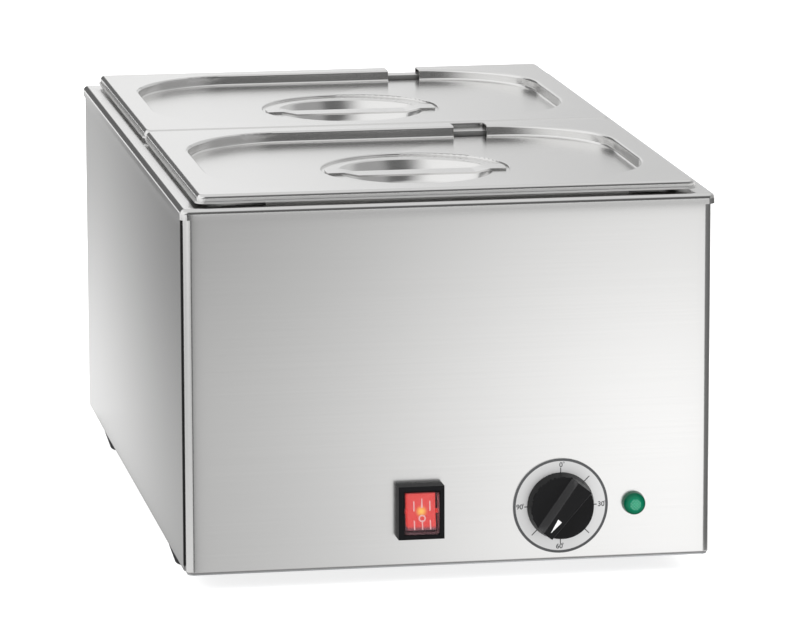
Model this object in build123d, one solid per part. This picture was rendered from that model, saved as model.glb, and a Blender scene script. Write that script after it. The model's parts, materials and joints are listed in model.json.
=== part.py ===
from build123d import *
import math
import os

# Countertop electric bain-marie for two half-size pans, one behind the other.
# Millimetres. X across the front, Y from front to back, Z up, floor at Z = 0.

# Pans: the standard half size, 325 x 265, hung by the rim
pan_width = 325.0
pan_pitch = 265.0
pan_gap = 0.6
pan_depth = 150.0
pan_sheet = 0.8
pan_flange = 11.0
pan_rim_corner = 7.0
pan_lip_drop = 0.5
pan_corner = 34.0
pan_draft = 3.0
pan_bottom_radius = 16.0
pan_mouth_radius = 0.5

# Lids: pressed sheet with a sunken panel, a finger dish and a ladle notch
lid_inset = 1.2
lid_sheet = 0.8
lid_height = 4.4
lid_edge_radius = 2.6
lid_corner = 5.0
recess_border = 17.5
recess_depth = 7.5
recess_corner = 76.0
recess_floor_radius = 1.8
recess_lip_radius = 2.0
dish_setback = 8.0
ring_diameter = 124.0
ring_depth = 1.5
ring_floor_radius = 0.4
ring_lip_radius = 1.0
dish_diameter = 101.0
dish_floor_diameter = 84.0
dish_depth = 20.0
dish_floor_radius = 10.0
dish_lip_radius = 2.0
notch_width = 23.0
notch_offset = 59.4
handle_width = 17.5
handle_thickness = 1.2
handle_sag = 2.0
handle_ramp = 10.0
handle_end_gap = 2.0
handle_overhang = 0.7

# Water basin: deck, turned-down rim, ribs under the pans' rims, and the well
deck_margin_side = 10.7
deck_margin_end = 5.2
basin_sheet = 1.0
rim_height = 7.0
rim_edge_radius = 3.5
rim_corner = 5.0
rim_gap = 0.2
ledge_height = 2.8
ledge_setback = 2.4
ledge_width = 1.6
lip_room = 0.4
well_clearance = 1.6
well_bottom_radius = 12.0
water_gap = 20.0

# Housing: front panel, two sides that turn round the rear corners, and the back
panel_sheet = 1.0
panel_corner = 5.0
panel_straight = 3.0
panel_bend = 1.6
seam_step = 1.0
seam_gap = 3.0
bottom_flange = 10.0
top_flange = 6.0
flange_gap = 1.0
rear_return = 14.0
rear_seam = 0.4
rear_lap = 8.0

# Base plate, feet and their fasteners
base_sheet = 1.0
base_inset = 2.0
base_corner = 4.0
foot_height = 13.0
foot_top_diameter = 32.0
foot_bottom_diameter = 23.0
foot_edge_radius = 2.5
foot_nut_gap = 1.4
foot_spacing = 356.0
foot_screw_diameter = 5.0
foot_screw_head = 9.0
foot_screw_head_height = 3.0
foot_screw_recess = 6.0
foot_nut_height = 4.0
foot_nut_across_flats = 8.0
screw_end = 1.0
base_screw_diameter = 4.0
base_screw_head = 7.5
base_screw_head_height = 2.2
base_screw_length = 8.0
base_screw_side_pitch = 440.0
base_screw_end_pitch = 200.0
vent_length = 60.0
vent_width = 4.0
vent_pitch = 12.0
vent_count = 8
hole_clearance = 0.05
overcut = 1.0

# Controls on the front panel, from the panel's bottom edge and middle
control_height = 35.7
control_headroom = 13.9
switch_lift = 1.05
switch_offset = -20.6
dial_offset = 72.0
lamp_offset = 120.1

# Rocker switch under a clear splash cover
bezel_width = 29.8
bezel_height = 34.8
bezel_thickness = 12.0
bezel_crown = 1.8
bezel_slope = 2.4
bezel_frame = 3.45
switch_wall = 1.1
switch_depth = 30.0
switch_fit = 0.3
switch_clip_height = 1.5
switch_clip_length = 5.0
switch_clip_width = 12.0
rocker_gap = 0.5
rocker_side_gap = 1.45
rocker_travel = 18.0
rocker_rise = 5.5
rocker_back = 3.0
rocker_hollow = 0.9
rocker_edge = 0.5
rocker_pivot_height = 4.5
rocker_pivot_diameter = 3.0
rocker_pivot_grip = 0.8
cover_wall = 0.7
cover_gap = 0.7
cover_seat = 0.1
cover_edge = 1.9
blade_width = 6.3
blade_thickness = 0.8
blade_length = 10.0
blade_pitch_x = 12.0
blade_pitch_z = 14.0

# Thermostat, its dial plate, knob and shaft
dial_diameter = 62.4
dial_thickness = 0.8
dial_hole = 10.0
thermostat_width = 44.0
thermostat_height = 40.0
thermostat_depth = 28.0
thermostat_flange = 1.5
thermostat_step = 3.0
thermostat_blade_pitch = 13.0
thermostat_screw_pitch = 28.0
thermostat_screw_diameter = 3.9
thermostat_screw_head = 6.6
thermostat_screw_head_height = 2.0
thermostat_screw_grip = 6.0
shaft_diameter = 6.0
shaft_seat = 12.0
shaft_flat = 1.5
running_clearance = 0.05
knob_diameter = 44.0
knob_face_diameter = 40.5
knob_gap = 0.5
knob_skirt = 7.6
knob_height = 19.5
knob_bar_nose = 7.2
knob_bar_tail = 11.4
knob_bar_draft = 2.2
knob_bar_edge = 0.8
knob_bar_end = 2.4
knob_screw_room = 0.9
knob_hub_diameter = 13.0
knob_cap = 4.0
pointer_angle = 218.0

# Pilot lamp
lamp_diameter = 15.4
lamp_flange = 4.6
lamp_dome_diameter = 14.2
lamp_dome = 3.6
lamp_body_diameter = 10.0
lamp_body_depth = 22.0
lamp_nut_diameter = 16.0
lamp_nut_thickness = 3.0
lamp_blade_pitch = 5.0
lamp_blade_width = 2.8
lamp_blade_length = 6.0

# Heater under the well
element_width = 10.0
element_height = 6.0
element_edge = 2.0
element_pitch = 60.0
element_runs = 4
element_front = 96.0
element_back = 72.0
element_lead = 34.0
element_pin_diameter = 3.0
element_pin_length = 12.0
heater_plate_sheet = 1.5
heater_plate_border = 16.0
heater_plate_setback = 6.0
insulation_thickness = 12.0
stud_diameter = 5.0
stud_inset = 9.0
stud_nut_height = 4.0
stud_nut_across_flats = 8.0
washer_thickness = 1.0
washer_diameter = 15.0

# Sensor bulb, its clips and the capillary
bulb_diameter = 6.0
bulb_length = 70.0
bulb_front = 58.0
bulb_offset = 52.0
clip_width = 8.0
clip_wall = 1.6
clip_pitch = 40.0
capillary_diameter = 2.0

# Safety cut-out
cutout_diameter = 17.0
cutout_height = 9.0
cutout_flange_length = 32.0
cutout_flange_sheet = 1.2
cutout_stud_pitch = 24.0
cutout_offset = -75.0
cutout_front = 58.0
cutout_stud_diameter = 3.0
cutout_nut_height = 2.4
cutout_nut_across_flats = 5.5
cutout_blade_pitch = 9.0

# Supply side at the back
terminal_ways = 4
terminal_way_pitch = 12.0
terminal_depth = 22.0
terminal_height = 18.0
terminal_offset = -40.0
terminal_back = 62.0
terminal_ear = 8.0
terminal_ear_height = 6.0
terminal_bolt_diameter = 3.0
terminal_bolt_head = 5.5
terminal_bolt_head_height = 2.0
earth_inset = 47.0
earth_back = 80.0
earth_stud_height = 14.0
earth_stud_diameter = 5.0
earth_nut_height = 4.0
earth_nut_across_flats = 8.0
earth_lug_diameter = 11.0
earth_lug_sheet = 1.0
earth_lug_tail = 12.0
gland_inset = 67.0
gland_height = 42.0
gland_thread_diameter = 20.0
gland_thread_length = 10.0
gland_hex = 25.0
gland_hex_thickness = 6.0
gland_stub_diameter = 17.0
gland_stub_length = 8.0
gland_cap_length = 15.0
gland_cap_edge = 3.0
gland_bore = 10.0
gland_nut_hex = 27.0
gland_nut_thickness = 5.0

# Wiring
wire_diameter = 2.6
wire_fit = 0.1
wire_lane = 9.0
wire_lane_pitch = 6.0

# Levels, from the floor up
lift = foot_height + base_sheet
control_z = lift + control_height
switch_z = control_z + switch_lift
well_under_z = control_z + thermostat_height / 2 + control_headroom
well_floor_z = well_under_z + basin_sheet
pan_bottom_z = well_floor_z + water_gap
pan_top_z = pan_bottom_z + pan_depth
ledge_z = pan_top_z - pan_sheet
deck_z = ledge_z - ledge_height
lid_top_z = pan_top_z + lid_height
panel_top_z = deck_z - basin_sheet

# Plan sizes, from the pans outwards
pan_rim_depth = pan_pitch - pan_gap
pan_body_width = pan_width - 2 * pan_flange
pan_body_depth = pan_rim_depth - 2 * pan_flange
lid_width = pan_width - 2 * lid_inset
lid_depth = pan_rim_depth - 2 * lid_inset
recess_width = lid_width - 2 * recess_border
recess_length = lid_depth - 2 * recess_border
deck_width = pan_width + 2 * deck_margin_side
deck_depth = 2 * pan_pitch + 2 * deck_margin_end
rim_overhang = rim_gap + basin_sheet
housing_width = deck_width - 2 * rim_overhang
housing_depth = deck_depth - 2 * rim_overhang
well_width = pan_body_width + 2 * well_clearance
well_depth = pan_pitch + pan_body_depth + 2 * well_clearance
well_corner = pan_corner + well_clearance
ledge_x = pan_width / 2 - ledge_setback
ledge_y = pan_pitch - pan_gap / 2 - ledge_setback

# Front to back: the origin lies under the middle of the whole object
knob_reach = dial_thickness + knob_gap + knob_height
gland_reach = gland_hex_thickness + gland_cap_length
mid_y = (knob_reach - gland_reach) / 2
front_y = mid_y - housing_depth / 2
back_y = mid_y + housing_depth / 2
inner_front_y = front_y + panel_sheet
inner_back_y = back_y - panel_sheet
pan_middles = {"front": mid_y - pan_pitch / 2, "rear": mid_y + pan_pitch / 2}
half_width = housing_width / 2
front_half = half_width - seam_step
panel_return = panel_corner + panel_straight
panel_top_bend = rim_edge_radius - basin_sheet + rim_gap
seam_y = front_y + panel_return + seam_gap
foot_x = half_width - panel_sheet - bottom_flange - foot_nut_gap - foot_nut_across_flats / math.sqrt(3)
foot_places = {
    "front_left": (-foot_x, mid_y - foot_spacing / 2),
    "front_right": (foot_x, mid_y - foot_spacing / 2),
    "rear_left": (-foot_x, mid_y + foot_spacing / 2),
    "rear_right": (foot_x, mid_y + foot_spacing / 2),
}
side_screw_x = half_width - panel_sheet - bottom_flange / 2
back_screw_y = back_y - panel_sheet - bottom_flange / 2
base_screw_places = [
    (side * side_screw_x, mid_y + end * base_screw_side_pitch / 2) for side in (-1, 1) for end in (-1, 1)
] + [(side * base_screw_end_pitch / 2, back_screw_y) for side in (-1, 1)]


def block(x0, x1, y0, y1, z0, z1):
    """A box between two corners."""
    middle = Pos((x0 + x1) / 2, (y0 + y1) / 2, (z0 + z1) / 2)
    return middle * Box(abs(x1 - x0), abs(y1 - y0), abs(z1 - z0))


def post(x, y, z0, z1, radius):
    """An upright cylinder."""
    return Pos(x, y, (z0 + z1) / 2) * Cylinder(radius, abs(z1 - z0))


def axle(x, z, y0, y1, radius):
    """A cylinder along Y."""
    return Pos(x, (y0 + y1) / 2, z) * Rot(90, 0, 0) * Cylinder(radius, abs(y1 - y0))


def slab(width, depth, corner, y, z0, z1, taper=0):
    """A rounded rectangle in plan from z0 to z1, narrowing towards z1 by the taper."""
    direction = (0, 0, 1 if z1 > z0 else -1)
    plane = Plane(origin=(0, y, z0), x_dir=(1, 0, 0), z_dir=direction)
    return extrude(plane * RectangleRounded(width, depth, corner), abs(z1 - z0), taper=taper)


def upright_nut(x, y, z0, height, across_flats, hole_radius):
    """A hexagon nut with an upright bore, standing on z0."""
    outline = RegularPolygon(across_flats / 2, 6, major_radius=False) - Circle(hole_radius)
    return extrude(Pos(x, y, z0) * outline, height)


def hexagon_along_y(x, z, y0, y1, across_flats):
    """A hexagon bar along Y."""
    plane = Plane(origin=(x, y0, z), x_dir=(1, 0, 0), z_dir=(0, 1, 0))
    return extrude(plane * RegularPolygon(across_flats / 2, 6, major_radius=False), y1 - y0)


def lowest_edges(part):
    """The edges at the lowest level of a solid."""
    return part.edges().group_by(Axis.Z)[0]


def highest_edges(part):
    """The edges at the highest level of a solid."""
    return part.edges().group_by(Axis.Z)[-1]


def edges_within(edges, half_x, half_y, y):
    """The edges whose middle lies inside a rectangle in plan."""
    return [
        edge for edge in edges
        if abs(edge.center().X) <= half_x and abs(edge.center().Y - y) <= half_y
    ]


def sheet_outline(half, y0, y1, radius, round_front):
    """A rectangle in plan with its two front or its two back corners rounded."""
    outline = Pos(0, (y0 + y1) / 2) * Rectangle(2 * half, y1 - y0)
    corners = outline.vertices().group_by(Axis.Y)[0 if round_front else -1]
    return fillet(corners, radius)


def group(solids):
    """Separate solids kept together in one node."""
    return Compound(children=list(solids))


# Pans, lids and lid handles

def pan(y):
    """A pan that hangs by its rim, with a turned-down lip at the rim's edge."""
    lip_z = ledge_z - pan_lip_drop
    rim = slab(pan_width, pan_rim_depth, pan_rim_corner, y, lip_z, pan_top_z)
    rim -= slab(
        pan_width - 2 * pan_sheet, pan_rim_depth - 2 * pan_sheet, pan_rim_corner - pan_sheet, y,
        lip_z, ledge_z,
    )
    body = slab(pan_body_width, pan_body_depth, pan_corner, y, ledge_z, pan_bottom_z, taper=pan_draft)
    body = fillet(lowest_edges(body), pan_bottom_radius)
    mouth_width = pan_body_width - 2 * pan_sheet
    mouth_depth = pan_body_depth - 2 * pan_sheet
    mouth_corner = pan_corner - pan_sheet
    floor_z = pan_bottom_z + pan_sheet
    hollow = slab(mouth_width, mouth_depth, mouth_corner, y, ledge_z, floor_z, taper=pan_draft)
    hollow = fillet(lowest_edges(hollow), pan_bottom_radius - pan_sheet)
    mouth = slab(mouth_width, mouth_depth, mouth_corner, y, ledge_z, pan_top_z)
    vessel = rim + body - hollow - mouth
    mouth_edges = edges_within(highest_edges(vessel), pan_body_width / 2, pan_body_depth / 2, y)
    return fillet(mouth_edges, pan_mouth_radius)


def lid_form(y, inset):
    """The space under the lid's top surface, with the whole surface moved in by the inset."""
    top = lid_top_z - inset
    floor = top - recess_depth
    ring_z = floor - ring_depth
    dish_z = ring_z - dish_depth
    form = slab(lid_width - 2 * inset, lid_depth - 2 * inset, lid_corner - inset, y, dish_z - lid_height, top)
    form = fillet(highest_edges(form), lid_edge_radius - inset)
    half_x = recess_width / 2 + inset
    half_y = recess_length / 2 + inset
    recess = slab(2 * half_x, 2 * half_y, recess_corner + inset, y, floor, top)
    form -= fillet(lowest_edges(recess), recess_floor_radius + inset)
    form = fillet(edges_within(highest_edges(form), half_x, half_y, y), recess_lip_radius - inset)
    ring_radius = ring_diameter / 2 + inset
    dish_radius = dish_diameter / 2 + inset
    floor_radius = dish_floor_diameter / 2 + inset
    outer = ring_radius + 2 * ring_lip_radius
    section = Polyline(
        (0, top), (outer, top), (outer, floor), (ring_radius, floor), (ring_radius, ring_z),
        (dish_radius, ring_z), (floor_radius, dish_z), (0, dish_z), close=True,
    )
    section = make_face(section)
    for place, radius in (
        ((ring_radius, floor), ring_lip_radius - inset),
        ((ring_radius, ring_z), ring_floor_radius + inset),
        ((dish_radius, ring_z), dish_lip_radius - inset),
        ((floor_radius, dish_z), dish_floor_radius + inset),
    ):
        corner = section.vertices().sort_by_distance((*place, 0))[0]
        section = fillet(corner, radius)
    return form - Pos(0, y - dish_setback, 0) * revolve(Plane.XZ * section, Axis.Z)


def lid(y):
    """A pressed lid of even thickness that stands on the pan's rim by its skirt."""
    shell = lid_form(y, 0) - lid_form(y, lid_sheet)
    keep = lid_top_z - recess_depth - ring_depth - dish_depth - 2 * lid_sheet
    skirt = slab(lid_width, lid_depth, lid_corner, y, pan_top_z, lid_top_z)
    pressing = slab(
        recess_width + recess_border, recess_length + recess_border, recess_corner, y, keep, lid_top_z
    )
    shell = shell & (skirt + pressing)
    rear = y + lid_depth / 2
    notch = block(
        notch_offset - notch_width / 2, notch_offset + notch_width / 2,
        rear - recess_border - recess_floor_radius, rear + lid_inset,
        lid_top_z - recess_depth, lid_top_z + lid_sheet,
    )
    return shell - notch


def lid_handle(y):
    """A strip across the dish, standing on the ring and dropped a little between its ends."""
    middle_y = y - dish_setback
    seat = lid_top_z - recess_depth - ring_depth
    reach = ring_diameter / 2 - handle_end_gap
    land = math.sqrt((dish_diameter / 2) ** 2 - (handle_width / 2) ** 2) - handle_overhang
    flat = land - handle_ramp
    under = [(-reach, 0), (-land, 0), (-flat, -handle_sag), (flat, -handle_sag), (land, 0), (reach, 0)]
    over = [(x, z + handle_thickness) for x, z in reversed(under)]
    side = make_face(Polyline(*[(x, seat + z) for x, z in under + over], close=True))
    strip = Pos(0, middle_y, 0) * extrude(Plane.XZ * side, handle_width / 2, both=True)
    low, high = seat - 2 * handle_sag, seat + 2 * handle_thickness
    return strip & post(0, middle_y, low, high, reach)


# Water basin

def water_basin():
    """Deck with a turned-down rim, four straight ribs that carry the pans, and the well."""
    rim_z = deck_z - rim_height
    deck = slab(deck_width, deck_depth, rim_corner, mid_y, rim_z, deck_z)
    deck = fillet(highest_edges(deck), rim_edge_radius)
    under = slab(
        deck_width - 2 * basin_sheet, deck_depth - 2 * basin_sheet, rim_corner - basin_sheet, mid_y,
        rim_z, panel_top_z,
    )
    deck -= fillet(highest_edges(under), rim_edge_radius - basin_sheet)
    straight_x = well_width / 2 - well_corner
    straight_y = well_depth / 2 - well_corner
    for side in (-1, 1):
        deck += block(
            side * (ledge_x - ledge_width), side * ledge_x, mid_y - straight_y, mid_y + straight_y,
            panel_top_z, ledge_z,
        )
        deck += block(
            -straight_x, straight_x, mid_y + side * (ledge_y - ledge_width), mid_y + side * ledge_y,
            panel_top_z, ledge_z,
        )
    well = slab(
        well_width + 2 * basin_sheet, well_depth + 2 * basin_sheet, well_corner + basin_sheet, mid_y,
        panel_top_z, well_under_z,
    )
    well = fillet(lowest_edges(well), well_bottom_radius + basin_sheet)
    hollow = slab(well_width, well_depth, well_corner, mid_y, ledge_z, well_floor_z)
    hollow = fillet(lowest_edges(hollow), well_bottom_radius)
    lip_half = pan_gap / 2 + pan_rim_corner + lip_room
    lip_slot = block(
        -deck_width / 2, deck_width / 2, mid_y - lip_half, mid_y + lip_half,
        ledge_z - pan_lip_drop - lip_room, ledge_z + overcut,
    )
    return deck + well - hollow - lip_slot


# Housing

def folded_box(outline, open_y, inset):
    """A box over a plan, with its top and bottom edges rounded but for those of its open side."""
    box = extrude(Pos(0, 0, lift + inset) * outline, panel_top_z - lift - 2 * inset)
    for pick, radius in ((lowest_edges, panel_bend), (highest_edges, panel_top_bend)):
        folds = [edge for edge in pick(box) if abs(edge.center().Y - open_y) > panel_sheet / 2]
        box = fillet(folds, radius - inset)
    return box


def front_panel():
    """Front sheet folded in at its sides, top and bottom, with the control openings."""
    reach = front_y + max(panel_return, panel_sheet + bottom_flange, panel_sheet + top_flange)
    outline = sheet_outline(front_half, front_y, reach, panel_corner, True)
    inside = sheet_outline(
        front_half - panel_sheet, inner_front_y, reach + panel_sheet, panel_corner - panel_sheet, True
    )
    panel = folded_box(outline, reach, 0) - folded_box(inside, reach + panel_sheet, panel_sheet)
    flat_half = front_half - panel_corner
    panel -= block(
        -flat_half, flat_half, inner_front_y + bottom_flange, reach + overcut,
        lift - overcut, lift + panel_sheet + overcut,
    )
    panel -= block(
        -flat_half, flat_half, inner_front_y + top_flange, reach + overcut,
        panel_top_z - panel_sheet - overcut, panel_top_z + overcut,
    )
    for side in (-1, 1):
        panel -= block(
            side * flat_half, side * (front_half + overcut), front_y + panel_return, reach + overcut,
            lift - overcut, panel_top_z + overcut,
        )
    panel -= switch_opening()
    panel -= axle(dial_offset, control_z, front_y - overcut, inner_front_y + overcut, dial_hole / 2)
    panel -= thermostat_screw_holes(front_y, inner_front_y)
    lamp_hole = lamp_body_diameter / 2 + hole_clearance
    return panel - axle(lamp_offset, control_z, front_y - overcut, inner_front_y + overcut, lamp_hole)


def wrap_sheet():
    """The folded sheet of left side, back and right side, before it is parted at the rear seams."""
    outline = sheet_outline(half_width, seam_y, back_y, panel_corner, False)
    inside = sheet_outline(
        half_width - panel_sheet, seam_y - panel_sheet, inner_back_y, panel_corner - panel_sheet, False
    )
    wrap = folded_box(outline, seam_y, 0) - folded_box(inside, seam_y - panel_sheet, panel_sheet)
    for flange, z in ((bottom_flange, lift), (top_flange, panel_top_z)):
        inner_half = half_width - panel_sheet - flange
        wrap -= block(
            -inner_half, inner_half, seam_y - overcut, inner_back_y - flange,
            z - panel_sheet - overcut, z + panel_sheet + overcut,
        )
    flange_start = max(seam_y, inner_front_y + max(bottom_flange, top_flange) + flange_gap)
    flat_half = half_width - panel_corner
    wrap -= block(
        -flat_half, flat_half, seam_y - overcut, flange_start, lift - overcut, panel_top_z + overcut
    )
    return wrap - base_screw_holes()


def wrap_between(x0, x1):
    """The part of the folded sheet between two places across it."""
    return wrap_sheet() & block(
        x0, x1, seam_y - overcut, back_y + overcut, lift - overcut, panel_top_z + overcut
    )


def lap_strip(x0, x1, y0, y1):
    """A strip behind a seam, clear of the folds above and below it."""
    low_z = lift + panel_bend + panel_sheet
    high_z = panel_top_z - panel_top_bend - panel_sheet
    return block(x0, x1, y0, y1, low_z, high_z)


def side_panel(side):
    """A side that turns round its rear corner, with a joggle behind the front corner."""
    panel = wrap_between(side * (half_width - rear_return), side * (half_width + overcut))
    tongue = front_half - panel_sheet
    root = side * (tongue - panel_sheet)
    panel += lap_strip(root, side * half_width, seam_y, seam_y + panel_sheet)
    return panel + lap_strip(root, side * tongue, front_y + panel_corner, seam_y + panel_sheet)


def back_panel():
    """The back between the sides, with a strip behind each rear seam and the gland's hole."""
    half = half_width - rear_return - rear_seam
    panel = wrap_between(-half, half)
    for side in (-1, 1):
        strip_x = (side * (half - rear_lap), side * (half + rear_lap))
        panel += lap_strip(*strip_x, inner_back_y - panel_sheet, inner_back_y)
    gland_hole = gland_thread_diameter / 2 + hole_clearance
    return panel - axle(gland_offset, gland_z, inner_back_y - overcut, back_y + overcut, gland_hole)


def base_plate():
    """Bottom plate under the flanges, with vents and the holes of its fasteners."""
    plate = slab(
        housing_width - 2 * base_inset, housing_depth - 2 * base_inset, base_corner, mid_y, foot_height, lift
    )
    for row in range(vent_count):
        y = mid_y + (row - (vent_count - 1) / 2) * vent_pitch
        slot = Pos(0, y, foot_height) * SlotOverall(vent_length, vent_width)
        plate -= extrude(slot, base_sheet)
    for x, y in foot_places.values():
        plate -= post(x, y, foot_height - overcut, lift + overcut, foot_screw_diameter / 2 + hole_clearance)
    bolt_hole = terminal_bolt_diameter / 2 + hole_clearance
    for x in terminal_bolt_places():
        plate -= post(x, terminal_y, foot_height - overcut, lift + overcut, bolt_hole)
    return plate - base_screw_holes()


def base_screw_holes():
    """The holes that the base screws share in the base plate and the flanges."""
    radius = base_screw_diameter / 2 + hole_clearance
    top = lift + panel_sheet + overcut
    return [post(x, y, foot_height - overcut, top, radius) for x, y in base_screw_places]


def base_screws():
    """Pan-head screws from below, through the base plate into the flanges."""
    return group(
        post(x, y, foot_height, foot_height + base_screw_length, base_screw_diameter / 2)
        + post(x, y, foot_height - base_screw_head_height, foot_height, base_screw_head / 2)
        for x, y in base_screw_places
    )


# Feet

def foot(x, y):
    """A tapered rubber foot with a recess for its screw."""
    cone = Cone(foot_bottom_diameter / 2, foot_top_diameter / 2, foot_height)
    cone = fillet(lowest_edges(cone), foot_edge_radius)
    cone = Pos(x, y, foot_height / 2) * cone
    cone -= post(x, y, -overcut, foot_screw_recess, foot_screw_head / 2 + hole_clearance)
    return cone - post(x, y, 0, foot_height + overcut, foot_screw_diameter / 2 + hole_clearance)


def foot_screw(x, y):
    """A screw whose head sits in the foot and whose end stands above the nut."""
    end = lift + foot_nut_height + screw_end
    head = post(x, y, foot_screw_recess - foot_screw_head_height, foot_screw_recess, foot_screw_head / 2)
    return head + post(x, y, foot_screw_recess, end, foot_screw_diameter / 2)


def foot_nut(x, y):
    """The nut of a foot screw, on top of the base plate."""
    return upright_nut(
        x, y, lift, foot_nut_height, foot_nut_across_flats, foot_screw_diameter / 2 + hole_clearance
    )


# Rocker switch

switch_half_x = bezel_width / 2 - bezel_frame
switch_half_z = bezel_height / 2 - bezel_frame
rocker_half_x = switch_half_x - cover_seat - cover_wall - rocker_side_gap
rocker_tilt = rocker_travel / 2
tilt_sin = math.sin(math.radians(rocker_tilt))
tilt_cos = math.cos(math.radians(rocker_tilt))
rocker_half_z = (switch_half_z - cover_seat - cover_wall - rocker_gap - rocker_rise * tilt_sin) / tilt_cos
rocker_pivot_y = front_y - rocker_pivot_height
rocker_front_y = rocker_pivot_y - rocker_rise * tilt_cos - rocker_half_z * tilt_sin
rocker_back_y = rocker_pivot_y + rocker_back * tilt_cos + rocker_half_z * tilt_sin
switch_back_y = front_y + switch_depth


def switch_block(half_x, half_z, y0, y1):
    """A box about the middle of the switch."""
    return block(
        switch_offset - half_x, switch_offset + half_x, y0, y1, switch_z - half_z, switch_z + half_z
    )


def switch_opening():
    """The cut-out that the switch passes through."""
    return switch_block(
        switch_half_x + switch_wall + switch_fit, switch_half_z + switch_wall + switch_fit,
        front_y - overcut, inner_front_y + overcut,
    )


def switch_pivot(radius, half_length):
    """A cylinder along the rocker's pivot."""
    return Pos(switch_offset, rocker_pivot_y, switch_z) * Rot(0, 90, 0) * Cylinder(radius, 2 * half_length)


def bezel_outline(y, inset):
    """The bezel's outline at one depth, drawn in by the inset on each side."""
    plane = Plane(origin=(switch_offset, y, switch_z), x_dir=(1, 0, 0), z_dir=(0, -1, 0))
    return plane * Rectangle(bezel_width - 2 * inset, bezel_height - 2 * inset)


def switch_housing():
    """Bezel and body in one moulding, with snap clips behind the panel."""
    crown_y = front_y - bezel_thickness + bezel_crown
    bezel = switch_block(bezel_width / 2, bezel_height / 2, crown_y, front_y)
    bezel += loft([bezel_outline(crown_y, 0), bezel_outline(front_y - bezel_thickness, bezel_slope)])
    body = switch_block(switch_half_x + switch_wall, switch_half_z + switch_wall, front_y, switch_back_y)
    clip_reach = switch_half_z + switch_wall + switch_clip_height
    clips = [
        block(
            switch_offset - switch_clip_width / 2, switch_offset + switch_clip_width / 2,
            inner_front_y, inner_front_y + switch_clip_length,
            switch_z + side * switch_half_z, switch_z + side * clip_reach,
        )
        for side in (-1, 1)
    ]
    moulding = bezel + body + clips
    well_back_y = rocker_back_y + rocker_gap
    moulding -= switch_block(switch_half_x, switch_half_z, front_y - 2 * bezel_thickness, well_back_y)
    grip = switch_half_x + rocker_pivot_grip
    return moulding - switch_pivot(rocker_pivot_diameter / 2 + running_clearance, grip + hole_clearance)


def rocker():
    """The rocker with a hollowed face, tilted so that its upper half is pressed in."""
    with BuildSketch(Plane.YZ) as side:
        with BuildLine():
            Line((rocker_back, -rocker_half_z), (rocker_back, rocker_half_z))
            Line((rocker_back, rocker_half_z), (-rocker_rise, rocker_half_z))
            ThreePointArc(
                (-rocker_rise, rocker_half_z), (rocker_hollow - rocker_rise, 0),
                (-rocker_rise, -rocker_half_z),
            )
            Line((-rocker_rise, -rocker_half_z), (rocker_back, -rocker_half_z))
        make_face()
    paddle = extrude(side.sketch, rocker_half_x, both=True)
    front_edges = [edge for edge in paddle.edges() if edge.center().Y < rocker_hollow - rocker_rise / 2]
    paddle = fillet(front_edges, rocker_edge)
    paddle = Pos(switch_offset, rocker_pivot_y, switch_z) * Rot(-rocker_tilt, 0, 0) * paddle
    return paddle + switch_pivot(rocker_pivot_diameter / 2, switch_half_x + rocker_pivot_grip)


def splash_cover():
    """A clear cap in the bezel's opening, over the rocker."""
    inner_y = rocker_front_y - cover_gap
    outer_x = switch_half_x - cover_seat
    outer_z = switch_half_z - cover_seat
    skirt_y = rocker_pivot_y - rocker_pivot_diameter / 2 - rocker_gap
    cap = switch_block(outer_x, outer_z, inner_y - cover_wall, skirt_y)
    front = cap.faces().sort_by(Axis.Y)[0].edges()
    cap = fillet(front + cap.edges().filter_by(Axis.Y), cover_edge)
    hollow = switch_block(outer_x - cover_wall, outer_z - cover_wall, inner_y, skirt_y)
    hollow_edges = hollow.faces().sort_by(Axis.Y)[0].edges() + hollow.edges().filter_by(Axis.Y)
    return cap - fillet(hollow_edges, cover_edge - cover_wall)


def switch_blade_x(side):
    """The X place of a column of switch blades."""
    return switch_offset + side * blade_pitch_x / 2


def switch_blades():
    """Four flat blades at the back of the switch."""
    return group(
        block(
            switch_blade_x(side) - blade_thickness / 2, switch_blade_x(side) + blade_thickness / 2,
            switch_back_y, switch_back_y + blade_length,
            switch_z + row * blade_pitch_z / 2 - blade_width / 2,
            switch_z + row * blade_pitch_z / 2 + blade_width / 2,
        )
        for side in (-1, 1)
        for row in (-1, 1)
    )


# Thermostat, dial and knob

dial_front_y = front_y - dial_thickness
knob_back_y = dial_front_y - knob_gap
knob_front_y = knob_back_y - knob_height
thermostat_back_y = inner_front_y + thermostat_depth
screw_head_reach = thermostat_screw_pitch / 2 + thermostat_screw_head / 2
knob_hollow_radius = screw_head_reach + knob_screw_room
knob_hollow_depth = thermostat_screw_head_height - knob_gap + knob_screw_room


def thermostat_screw_places():
    """The X places of the two thermostat screws."""
    return [dial_offset + side * thermostat_screw_pitch / 2 for side in (-1, 1)]


def thermostat_screw_holes(y0, y1):
    """The holes of the two thermostat screws between two depths."""
    radius = thermostat_screw_diameter / 2 + hole_clearance
    return [axle(x, control_z, y0 - overcut, y1 + overcut, radius) for x in thermostat_screw_places()]


def dial_plate():
    """A thin disc on the panel, held by the thermostat screws."""
    plate = axle(dial_offset, control_z, dial_front_y, front_y, dial_diameter / 2)
    plate -= axle(dial_offset, control_z, dial_front_y - overcut, front_y + overcut, dial_hole / 2)
    return plate - thermostat_screw_holes(dial_front_y, front_y)


def thermostat_block(half_x, half_z, y0, y1):
    """A box about the thermostat's axis."""
    return block(dial_offset - half_x, dial_offset + half_x, y0, y1, control_z - half_z, control_z + half_z)


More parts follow.
